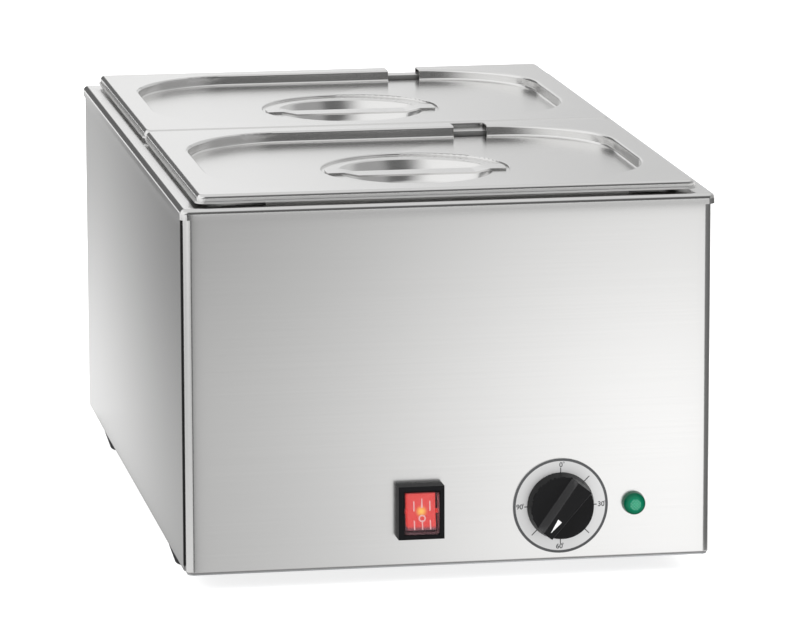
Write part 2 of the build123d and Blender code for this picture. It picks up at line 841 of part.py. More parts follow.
def thermostat_body():
    """Flange and body behind the panel, with the shaft's bearing bore."""
    half_x = thermostat_width / 2
    half_z = thermostat_height / 2
    body = thermostat_block(half_x, half_z, inner_front_y, inner_front_y + thermostat_flange)
    body += thermostat_block(
        half_x - thermostat_step, half_z - thermostat_step, inner_front_y, thermostat_back_y
    )
    bore = shaft_diameter / 2 + running_clearance
    body -= axle(dial_offset, control_z, inner_front_y - overcut, inner_front_y + shaft_seat, bore)
    return body - thermostat_screw_holes(inner_front_y, inner_front_y + thermostat_screw_grip)


def thermostat_screws():
    """Two screws through the dial plate and the panel into the thermostat."""
    head_y = dial_front_y - thermostat_screw_head_height
    end_y = inner_front_y + thermostat_screw_grip
    return group(
        axle(x, control_z, dial_front_y, end_y, thermostat_screw_diameter / 2)
        + axle(x, control_z, head_y, dial_front_y, thermostat_screw_head / 2)
        for x in thermostat_screw_places()
    )


def thermostat_blade_x(column):
    """The X place of one of the three thermostat blades."""
    return dial_offset + column * thermostat_blade_pitch


def thermostat_blades():
    """Three flat blades at the back of the thermostat."""
    return group(
        block(
            thermostat_blade_x(column) - blade_thickness / 2,
            thermostat_blade_x(column) + blade_thickness / 2,
            thermostat_back_y, thermostat_back_y + blade_length,
            control_z - blade_width / 2, control_z + blade_width / 2,
        )
        for column in (-1, 0, 1)
    )


def turned(part):
    """A part made about the Y axis, pointer up, set on the dial at the pointer's angle."""
    return Pos(dial_offset, 0, control_z) * Rot(0, pointer_angle, 0) * part


def shaft_flat_cut(clearance):
    """The space beside the shaft's flat, inside the knob."""
    flat = shaft_diameter / 2 - shaft_flat + clearance
    return block(flat, knob_diameter, knob_front_y - overcut, knob_back_y, -knob_diameter, knob_diameter)


def thermostat_shaft():
    """The shaft from the thermostat's bearing into the knob, with a flat in the knob."""
    shaft = axle(0, 0, knob_front_y + knob_cap, inner_front_y + shaft_seat, shaft_diameter / 2)
    return turned(shaft - shaft_flat_cut(0))


def bar_outline(y, half_length, draft):
    """The grip bar's outline at one depth, narrower towards the pointer's end."""
    plane = Plane(origin=(0, y, 0), x_dir=(1, 0, 0), z_dir=(0, -1, 0))
    tail = knob_bar_tail / 2 + draft
    nose = knob_bar_nose / 2 + draft
    corners = [(-tail, -half_length), (tail, -half_length), (nose, half_length), (-nose, half_length)]
    return plane * Polygon(*corners, align=None)


def knob():
    """Skirted knob with a tapered grip bar, hollow over the screw heads."""
    skirt_y = knob_back_y - knob_skirt / 2
    skirt = Cone(knob_diameter / 2, knob_face_diameter / 2, knob_skirt)
    skirt = Pos(0, skirt_y, 0) * Rot(90, 0, 0) * skirt
    root = bar_outline(skirt_y, knob_diameter / 2, knob_bar_draft)
    tip = bar_outline(knob_front_y, knob_diameter / 2 - knob_bar_end, 0)
    bar = loft([root, tip])
    bar = bar & axle(0, 0, knob_front_y, knob_back_y, knob_face_diameter / 2)
    front_edges = bar.faces().sort_by(Axis.Y)[0].edges()
    bar = fillet([edge for edge in front_edges if edge.length > knob_diameter / 2], knob_bar_edge)
    shape = skirt + bar
    hollow = axle(0, 0, knob_back_y - knob_hollow_depth, knob_back_y, knob_hollow_radius)
    hollow -= axle(0, 0, knob_back_y - knob_hollow_depth, knob_back_y, knob_hub_diameter / 2)
    shape -= hollow
    bore = axle(0, 0, knob_front_y + knob_cap, knob_back_y, shaft_diameter / 2 + hole_clearance)
    return turned(shape - (bore - shaft_flat_cut(hole_clearance)))


# Pilot lamp

lamp_back_y = front_y + lamp_body_depth


def lamp_lens():
    """A round lens, a little tapered, with a shallow dome."""
    rise = lamp_flange + lamp_dome
    with BuildSketch() as half:
        with BuildLine():
            Line((0, 0), (lamp_diameter / 2, 0))
            Line((lamp_diameter / 2, 0), (lamp_dome_diameter / 2, lamp_flange))
            RadiusArc(
                (lamp_dome_diameter / 2, lamp_flange), (0, rise),
                -((lamp_dome_diameter / 2) ** 2 + lamp_dome**2) / (2 * lamp_dome),
            )
            Line((0, rise), (0, 0))
        make_face()
    dome = revolve(half.sketch, Axis.Y)
    return Pos(lamp_offset, front_y, control_z) * Rot(180, 0, 0) * dome


def lamp_body():
    """The lamp's barrel through the panel."""
    return axle(lamp_offset, control_z, front_y, lamp_back_y, lamp_body_diameter / 2)


def lamp_nut():
    """The nut that pulls the lens flange onto the panel."""
    nut_back_y = inner_front_y + lamp_nut_thickness
    outer = axle(lamp_offset, control_z, inner_front_y, nut_back_y, lamp_nut_diameter / 2)
    bore = lamp_body_diameter / 2 + hole_clearance
    return outer - axle(lamp_offset, control_z, front_y, lamp_back_y, bore)


def lamp_blade_x(side):
    """The X place of a lamp blade."""
    return lamp_offset + side * lamp_blade_pitch / 2


def lamp_blades():
    """Two small blades at the back of the lamp."""
    return group(
        block(
            lamp_blade_x(side) - blade_thickness / 2, lamp_blade_x(side) + blade_thickness / 2,
            lamp_back_y, lamp_back_y + lamp_blade_length,
            control_z - lamp_blade_width / 2, control_z + lamp_blade_width / 2,
        )
        for side in (-1, 1)
    )


# Heater under the well

element_under_z = well_under_z - element_height
element_z = well_under_z - element_height / 2
element_start_y = front_y + element_front
element_end_y = back_y - element_back
element_xs = [(run - (element_runs - 1) / 2) * element_pitch for run in range(element_runs)]
pin_y = element_start_y - element_pin_length
heater_half_x = element_xs[-1] + element_width / 2 + heater_plate_border
heater_front_y = element_start_y + heater_plate_setback
heater_back_y = element_end_y + element_width / 2 + heater_plate_border
plate_under_z = element_under_z - heater_plate_sheet
insulation_under_z = plate_under_z - insulation_thickness
washer_under_z = insulation_under_z - washer_thickness
stud_places = [
    (side * (heater_half_x - stud_inset), y)
    for side in (-1, 1)
    for y in (heater_front_y + stud_inset, heater_back_y - stud_inset)
]


def heating_element():
    """A flattened tube laid in runs against the well, with a pin at each end."""
    points = []
    for run, x in enumerate(element_xs):
        near = element_start_y if run in (0, element_runs - 1) else element_start_y + element_lead
        ends = [(x, near, element_z), (x, element_end_y, element_z)]
        points += ends if run % 2 == 0 else ends[::-1]
    path = FilletPolyline(*points, radius=0.45 * element_pitch)
    start = Plane(origin=points[0], x_dir=(1, 0, 0), z_dir=(0, 1, 0))
    tube = sweep(start * RectangleRounded(element_width, element_height, element_edge), path=path)
    pins = [axle(x, element_z, pin_y, element_start_y, element_pin_diameter / 2) for x in heater_pin_xs()]
    return tube + pins


def heater_pin_xs():
    """The X places of the element's two ends."""
    return [element_xs[0], element_xs[-1]]


def heater_sheet(z0, z1, clearance):
    """A flat piece of the heater's plan with its stud holes."""
    sheet = block(-heater_half_x, heater_half_x, heater_front_y, heater_back_y, z0, z1)
    radius = stud_diameter / 2 + clearance
    return sheet - [post(x, y, z0 - overcut, z1 + overcut, radius) for x, y in stud_places]


def heater_studs():
    """Studs welded under the well that carry the heater plate."""
    end = washer_under_z - stud_nut_height - screw_end
    return group(post(x, y, end, well_under_z, stud_diameter / 2) for x, y in stud_places)


def stud_washers():
    """Broad washers under the insulation."""
    bore = stud_diameter / 2 + hole_clearance
    return group(
        post(x, y, washer_under_z, insulation_under_z, washer_diameter / 2)
        - post(x, y, washer_under_z - overcut, insulation_under_z + overcut, bore)
        for x, y in stud_places
    )


def stud_nuts():
    """Nuts under the washers."""
    bore = stud_diameter / 2 + hole_clearance
    return group(
        upright_nut(x, y, washer_under_z - stud_nut_height, stud_nut_height, stud_nut_across_flats, bore)
        for x, y in stud_places
    )


# Sensor bulb and capillary

bulb_y = front_y + bulb_front
bulb_z = well_under_z - clip_wall - bulb_diameter / 2
bulb_end_x = bulb_offset + bulb_length / 2


def rod_along_x(x0, x1, y, z, radius):
    """A cylinder along X."""
    return Pos((x0 + x1) / 2, y, z) * Rot(0, 90, 0) * Cylinder(radius, x1 - x0)


def sensor_bulb():
    """The thermostat's fluid bulb, along X under the well."""
    return rod_along_x(bulb_offset - bulb_length / 2, bulb_end_x, bulb_y, bulb_z, bulb_diameter / 2)


def bulb_clips():
    """Two saddles welded under the well that hold the bulb."""
    reach = bulb_diameter / 2 + clip_wall
    bore_radius = bulb_diameter / 2 + hole_clearance
    bore = rod_along_x(bulb_offset - bulb_length, bulb_offset + bulb_length, bulb_y, bulb_z, bore_radius)
    middles = [bulb_offset + side * clip_pitch / 2 for side in (-1, 1)]
    return group(
        block(
            x - clip_width / 2, x + clip_width / 2, bulb_y - reach, bulb_y + reach,
            bulb_z - reach, well_under_z,
        )
        - bore
        for x in middles
    )


def bend_radii(points):
    """The largest radius that fits at each inner point of a route."""
    radii = []
    for before, here, after in zip(points, points[1:], points[2:]):
        into = Vector(here) - Vector(before)
        out = Vector(after) - Vector(here)
        half_turn = math.radians(into.get_angle(out)) / 2
        radii.append(0.45 * min(into.length, out.length) / math.tan(half_turn))
    return radii


def tube(points, diameter):
    """A round tube along straight runs joined by arcs."""
    path = FilletPolyline(*points, radius=bend_radii(points))
    heading = Vector(points[1]) - Vector(points[0])
    return sweep(Plane(origin=points[0], z_dir=heading) * Circle(diameter / 2), path=path)


def capillary():
    """The capillary from the thermostat's back round to the end of the bulb."""
    x = dial_offset + thermostat_width / 2 - 2 * thermostat_step
    z = control_z + thermostat_height / 2 - 2 * thermostat_step
    return tube(
        [
            (x, thermostat_back_y, z),
            (x, thermostat_back_y + 13, z),
            (bulb_end_x + 12, bulb_y - 7, z + 1.6),
            (bulb_end_x + 23, bulb_y - 2, bulb_z - 8),
            (bulb_end_x + 21, bulb_y, bulb_z - 1.5),
            (bulb_end_x + 12, bulb_y, bulb_z),
            (bulb_end_x, bulb_y, bulb_z),
        ],
        capillary_diameter,
    )


# Safety cut-out

cutout_y = front_y + cutout_front
cutout_under_z = well_under_z - cutout_flange_sheet - cutout_height
cutout_blade_z = cutout_under_z - blade_length
cutout_stud_xs = [cutout_offset + side * cutout_stud_pitch / 2 for side in (-1, 1)]


def safety_cutout():
    """A disc cut-out with a flange, two stud holes and two blades."""
    flange_z = well_under_z - cutout_flange_sheet
    half_x = cutout_flange_length / 2
    half_y = cutout_diameter / 2
    flange = block(
        cutout_offset - half_x, cutout_offset + half_x, cutout_y - half_y, cutout_y + half_y,
        flange_z, well_under_z,
    )
    bore = cutout_stud_diameter / 2 + hole_clearance
    flange -= [post(x, cutout_y, flange_z - overcut, well_under_z + overcut, bore) for x in cutout_stud_xs]
    return flange + post(cutout_offset, cutout_y, cutout_under_z, flange_z, cutout_diameter / 2)


def cutout_blade_x(side):
    """The X place of a blade of the cut-out."""
    return cutout_offset + side * cutout_blade_pitch / 2


def cutout_blades():
    """Two blades under the cut-out."""
    return group(
        block(
            cutout_blade_x(side) - blade_thickness / 2, cutout_blade_x(side) + blade_thickness / 2,
            cutout_y - blade_width / 2, cutout_y + blade_width / 2, cutout_blade_z, cutout_under_z,
        )
        for side in (-1, 1)
    )


def cutout_studs():
    """Two studs welded under the well for the cut-out."""
    end = well_under_z - cutout_flange_sheet - cutout_nut_height - screw_end
    return group(post(x, cutout_y, end, well_under_z, cutout_stud_diameter / 2) for x in cutout_stud_xs)


def cutout_nuts():
    """The nuts of the cut-out's studs."""
    z = well_under_z - cutout_flange_sheet - cutout_nut_height
    bore = cutout_stud_diameter / 2 + hole_clearance
    return group(
        upright_nut(x, cutout_y, z, cutout_nut_height, cutout_nut_across_flats, bore) for x in cutout_stud_xs
    )


# Supply side at the back

terminal_y = back_y - terminal_back
terminal_half_x = terminal_ways * terminal_way_pitch / 2
terminal_way_z = lift + terminal_height / 2
terminal_front_y = terminal_y - terminal_depth / 2
earth_offset = earth_inset - half_width
earth_y = back_y - earth_back
gland_offset = gland_inset - half_width
gland_z = lift + gland_height


def terminal_way_x(way):
    """The X place of a way of the terminal block."""
    return terminal_offset + (way - (terminal_ways - 1) / 2) * terminal_way_pitch


def terminal_bolt_places():
    """The X places of the terminal block's two bolts."""
    return [terminal_offset + side * (terminal_half_x + terminal_ear / 2) for side in (-1, 1)]


def terminal_block():
    """A ceramic block with a row of wire ways and an ear at each end."""
    y0 = terminal_front_y
    y1 = terminal_y + terminal_depth / 2
    top = lift + terminal_height
    body = block(terminal_offset - terminal_half_x, terminal_offset + terminal_half_x, y0, y1, lift, top)
    reach = terminal_half_x + terminal_ear
    body += block(terminal_offset - reach, terminal_offset + reach, y0, y1, lift, lift + terminal_ear_height)
    bolt_radius = terminal_bolt_diameter / 2 + hole_clearance
    body -= [post(x, terminal_y, lift - overcut, top, bolt_radius) for x in terminal_bolt_places()]
    way_radius = wire_diameter / 2 + wire_fit
    return body - [
        axle(terminal_way_x(way), terminal_way_z, y0 - overcut, y1 + overcut, way_radius)
        for way in range(terminal_ways)
    ]


def terminal_bolts():
    """Two bolts through the block's ears into the base plate."""
    top = lift + terminal_ear_height
    return group(
        post(x, terminal_y, foot_height, top, terminal_bolt_diameter / 2)
        + post(x, terminal_y, top, top + terminal_bolt_head_height, terminal_bolt_head / 2)
        for x in terminal_bolt_places()
    )


def earth_stud():
    """A stud welded on the base plate."""
    return post(earth_offset, earth_y, lift, lift + earth_stud_height, earth_stud_diameter / 2)


def earth_nut():
    """The nut that clamps the earth lug."""
    bore = earth_stud_diameter / 2 + hole_clearance
    lug_top = lift + earth_lug_sheet
    return upright_nut(earth_offset, earth_y, lug_top, earth_nut_height, earth_nut_across_flats, bore)


def gland_body():
    """The threaded body of the cable gland, through the back wall."""
    body = hexagon_along_y(gland_offset, gland_z, back_y, back_y + gland_hex_thickness, gland_hex)
    thread_end = inner_back_y - gland_thread_length
    body += axle(gland_offset, gland_z, thread_end, back_y, gland_thread_diameter / 2)
    stub_end = back_y + gland_hex_thickness + gland_stub_length
    body += axle(gland_offset, gland_z, back_y, stub_end, gland_stub_diameter / 2)
    return body - axle(gland_offset, gland_z, thread_end - overcut, stub_end + overcut, gland_bore / 2)


def gland_cap():
    """The clamping cap of the gland, with the cable's entry."""
    y0 = back_y + gland_hex_thickness
    y1 = y0 + gland_cap_length
    cap = hexagon_along_y(gland_offset, gland_z, y0, y1, gland_hex)
    round_off = axle(gland_offset, gland_z, y0 - overcut, y1, gland_hex / math.sqrt(3) + hole_clearance)
    cap = cap & fillet(round_off.edges().sort_by(Axis.Y)[-1], gland_cap_edge)
    stub_hole = gland_stub_diameter / 2 + hole_clearance
    cap -= axle(gland_offset, gland_z, y0 - overcut, y0 + gland_stub_length, stub_hole)
    return cap - axle(gland_offset, gland_z, y0, y1 + overcut, gland_bore / 2)


def gland_nut():
    """The locknut inside the back wall."""
    y0 = inner_back_y - gland_nut_thickness
    nut = hexagon_along_y(gland_offset, gland_z, y0, inner_back_y, gland_nut_hex)
    return nut - axle(gland_offset, gland_z, y0 - overcut, back_y, gland_thread_diameter / 2 + hole_clearance)


# Wiring

lane_z = lift + wire_lane
switch_blade_y = switch_back_y + blade_length
thermostat_blade_y = thermostat_back_y + blade_length
lamp_blade_y = lamp_back_y + lamp_blade_length


def supply_wire(way, lane_x, x, y, z):
    """A wire from a terminal way along the floor to a blade that points back."""
    start = terminal_way_x(way)
    return tube(
        [
            (start, terminal_front_y + terminal_depth / 4, terminal_way_z),
            (start, terminal_front_y - 30, terminal_way_z),
            (lane_x, terminal_front_y - 90, lane_z),
            (lane_x, y + 70, lane_z),
            (x, y + 22, z),
            (x, y, z),
        ],
        wire_diameter,
    )


def live_wires():
    """Supply to switch, switch to thermostat, thermostat to cut-out, heater and lamp."""
    upper = switch_z + blade_pitch_z / 2
    lower = switch_z - blade_pitch_z / 2
    left_pin = heater_pin_xs()[0]
    supply = supply_wire(1, switch_blade_x(-1) - wire_lane_pitch, switch_blade_x(-1), switch_blade_y, upper)
    to_thermostat = tube(
        [
            (switch_blade_x(-1), switch_blade_y, lower),
            (switch_blade_x(-1), switch_blade_y + 14, lower),
            (switch_blade_x(1) + 6, switch_blade_y + 20, lower - 10),
            (thermostat_blade_x(-1) - 20, thermostat_blade_y + 21, lower - 10),
            (thermostat_blade_x(-1), thermostat_blade_y + 15, control_z),
            (thermostat_blade_x(-1), thermostat_blade_y, control_z),
        ],
        wire_diameter,
    )
    to_cutout = tube(
        [
            (thermostat_blade_x(0), thermostat_blade_y, control_z),
            (thermostat_blade_x(0), thermostat_blade_y + 14, control_z),
            (thermostat_blade_x(0) - 10, thermostat_blade_y + 31, lane_z + 3),
            (cutout_blade_x(1) + 26, cutout_y + 14, lane_z + 2),
            (cutout_blade_x(1), cutout_y, cutout_blade_z - 19),
            (cutout_blade_x(1), cutout_y, cutout_blade_z),
        ],
        wire_diameter,
    )
    to_heater = tube(
        [
            (cutout_blade_x(-1), cutout_y, cutout_blade_z),
            (cutout_blade_x(-1), cutout_y, cutout_blade_z - 12),
            (left_pin - 3, cutout_y + overcut, cutout_blade_z - 17),
            (left_pin - 14, cutout_y + 3, cutout_blade_z - 5),
            (left_pin - 9, cutout_y + 7, element_z - 7),
            (left_pin, pin_y - 12, element_z),
            (left_pin, pin_y, element_z),
        ],
        wire_diameter,
    )
    to_lamp = tube(
        [
            (thermostat_blade_x(1), thermostat_blade_y, control_z),
            (thermostat_blade_x(1), thermostat_blade_y + 12, control_z),
            (thermostat_blade_x(1) + 13, thermostat_blade_y + 21, control_z + 1.1),
            (lamp_blade_x(-1) - 5, lamp_blade_y + 26, control_z + 1.6),
            (lamp_blade_x(-1), lamp_blade_y + 14, control_z),
            (lamp_blade_x(-1), lamp_blade_y, control_z),
        ],
        wire_diameter,
    )
    return group([supply, to_thermostat, to_cutout, to_heater, to_lamp])


def neutral_wires():
    """Supply to switch, switch to heater, supply to lamp."""
    upper = switch_z + blade_pitch_z / 2
    lower = switch_z - blade_pitch_z / 2
    right_pin = heater_pin_xs()[-1]
    supply = supply_wire(2, switch_blade_x(1) - wire_lane_pitch, switch_blade_x(1), switch_blade_y, upper)
    to_heater = tube(
        [
            (switch_blade_x(1), switch_blade_y, lower),
            (switch_blade_x(1), switch_blade_y + 11, lower),
            (switch_blade_x(1) + 28, switch_blade_y + 18, lower + 9),
            (right_pin - 24, bulb_y + 8, element_z - 17),
            (right_pin, pin_y - 14, element_z),
            (right_pin, pin_y, element_z),
        ],
        wire_diameter,
    )
    to_lamp = supply_wire(3, lamp_blade_x(1) + wire_lane_pitch, lamp_blade_x(1), lamp_blade_y, control_z)
    return group([supply, to_heater, to_lamp])


def earth_wire():
    """The earth wire from its terminal way to a lug under the earth nut."""
    start = terminal_way_x(0)
    tail_x = earth_offset + earth_lug_diameter / 2 + earth_lug_tail
    lug_top = lift + earth_lug_sheet
    lug = post(earth_offset, earth_y, lift, lug_top, earth_lug_diameter / 2)
    lug += block(earth_offset, tail_x, earth_y - wire_diameter, earth_y + wire_diameter, lift, lug_top)
    stud_hole = earth_stud_diameter / 2 + hole_clearance
    lug -= post(earth_offset, earth_y, lift - overcut, lug_top + overcut, stud_hole)
    wire_z = lug_top + wire_diameter / 2
    crimp = block(
        tail_x - earth_lug_tail / 2, tail_x, earth_y - wire_diameter, earth_y + wire_diameter,
        lift, wire_z + wire_diameter,
    )
    wire = tube(
        [
            (start, terminal_front_y + terminal_depth / 4, terminal_way_z),
            (start, terminal_front_y - 14, terminal_way_z),
            (start - 14, terminal_front_y - 26, terminal_way_z - 3),
            (tail_x + 22, earth_y - 10, wire_z + 1),
            (tail_x + 11, earth_y, wire_z),
            (tail_x, earth_y, wire_z),
        ],
        wire_diameter,
    )
    return lug + crimp + wire


parts = {
    "front_panel": front_panel(),
    "side_panel_left": side_panel(-1),
    "side_panel_right": side_panel(1),
    "back_panel": back_panel(),
    "water_basin": water_basin(),
    "base_plate": base_plate(),
    "base_screws": base_screws(),
    "foot_screws": group(foot_screw(x, y) for x, y in foot_places.values()),
    "foot_nuts": group(foot_nut(x, y) for x, y in foot_places.values()),
    "switch_housing": switch_housing(),
    "rocker": rocker(),
    "splash_cover": splash_cover(),
    "switch_blades": switch_blades(),
    "dial_plate": dial_plate(),
    "thermostat_body": thermostat_body(),
    "thermostat_screws": thermostat_screws(),
    "thermostat_blades": thermostat_blades(),
    "thermostat_shaft": thermostat_shaft(),
    "knob": knob(),
    "lamp_lens": lamp_lens(),
    "lamp_body": lamp_body(),
    "lamp_nut": lamp_nut(),
    "lamp_blades": lamp_blades(),
    "heating_element": heating_element(),
    "heater_plate": heater_sheet(plate_under_z, element_under_z, hole_clearance),
    "insulation_pad": heater_sheet(insulation_under_z, plate_under_z, hole_clearance),
    "heater_studs": heater_studs(),
    "stud_washers": stud_washers(),
    "stud_nuts": stud_nuts(),
    "sensor_bulb": sensor_bulb(),
    "bulb_clips": bulb_clips(),
    "capillary": capillary(),
    "safety_cutout": safety_cutout(),
    "cutout_blades": cutout_blades(),
    "cutout_studs": cutout_studs(),
    "cutout_nuts": cutout_nuts(),
    "terminal_block": terminal_block(),
    "terminal_bolts": terminal_bolts(),
    "earth_stud": earth_stud(),
    "earth_nut": earth_nut(),
    "gland_body": gland_body(),
    "gland_cap": gland_cap(),
    "gland_nut": gland_nut(),
    "live_wires": live_wires(),
    "neutral_wires": neutral_wires(),
    "earth_wire": earth_wire(),
}
for place, (x, y) in foot_places.items():
    parts["foot_" + place] = foot(x, y)
for place, y in pan_middles.items():
    parts["pan_" + place] = pan(y)
    parts["lid_" + place] = lid(y)
    parts["lid_handle_" + place] = lid_handle(y)

os.makedirs("parts", exist_ok=True)
for name, shape in parts.items():
    export_step(shape, os.path.join("parts", name + ".step"))
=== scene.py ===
"""Looks of a countertop bain-marie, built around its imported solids."""

import json
import logging
import math
from dataclasses import dataclass, field
from enum import Enum

import bmesh
import bpy
from mathutils import Matrix, Vector


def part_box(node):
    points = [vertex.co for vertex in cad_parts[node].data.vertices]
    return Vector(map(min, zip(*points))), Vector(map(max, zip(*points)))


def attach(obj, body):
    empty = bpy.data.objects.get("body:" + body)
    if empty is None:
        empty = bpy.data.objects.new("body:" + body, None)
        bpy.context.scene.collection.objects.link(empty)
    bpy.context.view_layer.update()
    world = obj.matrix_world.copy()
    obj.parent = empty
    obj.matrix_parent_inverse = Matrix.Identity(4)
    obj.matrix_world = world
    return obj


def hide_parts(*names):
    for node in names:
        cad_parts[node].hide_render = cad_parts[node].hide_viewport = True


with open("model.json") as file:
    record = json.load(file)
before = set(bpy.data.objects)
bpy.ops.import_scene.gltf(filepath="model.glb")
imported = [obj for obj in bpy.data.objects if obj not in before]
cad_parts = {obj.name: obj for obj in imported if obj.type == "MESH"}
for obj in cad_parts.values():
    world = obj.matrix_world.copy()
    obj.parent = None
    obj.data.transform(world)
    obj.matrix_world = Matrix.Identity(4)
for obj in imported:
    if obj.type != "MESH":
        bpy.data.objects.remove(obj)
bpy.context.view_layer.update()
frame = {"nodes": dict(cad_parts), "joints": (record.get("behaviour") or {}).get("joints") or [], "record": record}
LOG = logging.getLogger("bain_marie")
MM = 0.001
MERGE_DISTANCE = 1e-6
PRINT_RISE = 0.02 * MM
NOISE_SPAN = (0.3, 0.7)
# Face attribute marking the knob's grip-bar sides, which get painted light.
PAINTED_LIGHT_MASK = "painted_light_mask"

Point = tuple[float, float, float]
Place = tuple[float, float]
Span = tuple[float, float]
Colour = tuple[float, float, float]
Face = tuple[int, ...]


class Grain(Enum):
    """Which way the brushing of a steel sheet runs, as the scale of its lines along X, Y and Z."""

    LEVEL = (5.0, 5.0, 1500.0)
    ACROSS = (6.0, 1300.0, 500.0)
    TURNED = (60.0, 60.0, 60.0)


class NodeBoard:
    """Adds nodes to one tree and joins their sockets."""

    def __init__(self, tree: bpy.types.NodeTree) -> None:
        """Keep the tree that the nodes go into."""
        self.tree = tree

    def add(self, kind: str, feeds: dict | None = None, **settings: object) -> bpy.types.Node:
        """Add a node, set its properties, and fill or join its inputs.

        Args:
            kind: The node's type name.
            feeds: Input name or number, with a plain value or the socket to join to it.
            settings: Properties of the node.

        Returns:
            The new node.
        """
        node = self.tree.nodes.new(kind)
        for name, value in settings.items():
            setattr(node, name, value)
        for key, value in (feeds or {}).items():
            self.feed(node.inputs[key], value)
        return node

    def feed(self, socket: bpy.types.NodeSocket, value: object) -> None:
        """Join a socket to another one, or set its plain value.

        Args:
            socket: The input to fill.
            value: A plain value, or the socket to join to it.
        """
        if isinstance(value, bpy.types.NodeSocket):
            self.tree.links.new(value, socket)
        else:
            socket.default_value = value

    def math(self, operation: str, *values: object) -> bpy.types.NodeSocket:
        """Add a Math node.

        Args:
            operation: The name of the sum.
            values: Plain numbers or sockets, in the node's order.

        Returns:
            The result's socket.
        """
        return self.add("ShaderNodeMath", dict(enumerate(values)), operation=operation).outputs[0]

    def ramp(
        self, value: object, low: float, high: float, start: float, end: float
    ) -> bpy.types.NodeSocket:
        """Map a value from one range smoothly to another.

        Args:
            value: The socket to map.
            low: The value that gives the start.
            high: The value that gives the end.
            start: The result at the low value.
            end: The result at the high value.

        Returns:
            The mapped value's socket.
        """
        feeds = {0: value, 1: low, 2: high, 3: start, 4: end}
        return self.add("ShaderNodeMapRange", feeds, interpolation_type="SMOOTHSTEP").outputs[0]

    def about(self, noise: bpy.types.NodeSocket, middle: float, spread: float) -> bpy.types.NodeSocket:
        """A value that a noise moves to both sides of its middle, by half the spread."""
        return self.ramp(noise, *NOISE_SPAN, middle - spread / 2, middle + spread / 2)

    def blend(self, mask: bpy.types.NodeSocket, first: object, second: object) -> bpy.types.NodeSocket:
        """Mix two colours by a mask.

        Args:
            mask: The share of the second colour.
            first: Red, green and blue, or a colour socket, where the mask is 0.
            second: Red, green and blue, or a colour socket, where the mask is 1.

        Returns:
            The mixed colour's socket.
        """
        node = self.add("ShaderNodeMix", {0: mask}, data_type="RGBA")
        ends = [socket for socket in node.inputs if socket.type == "RGBA"]
        for socket, colour in zip(ends, (first, second)):
            self.feed(socket, (*colour, 1.0) if isinstance(colour, tuple) else colour)
        return next(socket for socket in node.outputs if socket.type == "RGBA")


def shader_group(
    name: str, inputs: dict[str, float | None], outputs: list[str]
) -> tuple[NodeBoard, dict]:
    """Start a shader node group.

    Args:
        name: The group's name.
        inputs: Input names with their plain value, or None for a vector.
        outputs: The names of its value outputs.

    Returns:
        The group's board and its ends: the sockets of the input node and of the output node.
    """
    tree = bpy.data.node_groups.new(name, "ShaderNodeTree")
    for key, value in inputs.items():
        kind = "NodeSocketVector" if value is None else "NodeSocketFloat"
        socket = tree.interface.new_socket(name=key, in_out="INPUT", socket_type=kind)
        if value is not None:
            socket.default_value = value
    for key in outputs:
        tree.interface.new_socket(name=key, in_out="OUTPUT", socket_type="NodeSocketFloat")
    board = NodeBoard(tree)
    ends = {"in": board.add("NodeGroupInput").outputs, "out": board.add("NodeGroupOutput").inputs}
    return board, ends


def brushed_grain() -> bpy.types.NodeTree:
    """The brushing of steel sheet: fine lines, and the slow change of sheen over a sheet.

    Returns:
        The shader group, with Lines and Clouds as values between 0 and 1.
    """
    board, ends = shader_group("brushed_grain", {"Place": None, "Sheet": None}, ["Lines", "Clouds"])
    feeds = {"Vector": ends["in"]["Place"], "Scale": 1.0, "Detail": 3.0, "Roughness": 0.7}
    lines = board.add("ShaderNodeTexNoise", feeds)
    feeds = {"Vector": ends["in"]["Sheet"], "Scale": 7.0, "Detail": 2.0}
    clouds = board.add("ShaderNodeTexNoise", feeds)
    board.feed(ends["out"]["Lines"], lines.outputs[0])
    board.feed(ends["out"]["Clouds"], clouds.outputs[0])
    return board.tree


def moulded_speckle() -> bpy.types.NodeTree:
    """The faint unevenness of moulded plastic and rubber.

    Returns:
        The shader group, with Speckle as a value between 0 and 1.
    """
    board, ends = shader_group("moulded_speckle", {"Place": None, "Fineness": 900.0}, ["Speckle"])
    feeds = {"Vector": ends["in"]["Place"], "Scale": ends["in"]["Fineness"], "Detail": 2.0}
    board.feed(ends["out"]["Speckle"], board.add("ShaderNodeTexNoise", feeds).outputs[0])
    return board.tree


GRAIN_GROUP = brushed_grain()
SPECKLE_GROUP = moulded_speckle()


def new_material(
    name: str, **plain: object
) -> tuple[bpy.types.Material, NodeBoard, bpy.types.NodeInputs]:
    """Start a material.

    Args:
        name: The material's name.
        plain: The values that are the same all over, each by its socket's name with underscores.

    Returns:
        The material, its board and the inputs of its Principled node.
    """
    material = bpy.data.materials.new(name)
    material.use_nodes = True
    inputs = material.node_tree.nodes["Principled BSDF"].inputs
    for key, value in plain.items():
        inputs[key.replace("_", " ")].default_value = value
    return material, NodeBoard(material.node_tree), inputs


def bare_board(owner: bpy.types.Material | bpy.types.World) -> NodeBoard:
    """Empty the tree of a material or world of the studio.

    Args:
        owner: The material or world.

    Returns:
        Its board, with no nodes yet.
    """
    owner.use_nodes = True
    owner.node_tree.nodes.clear()
    return NodeBoard(owner.node_tree)


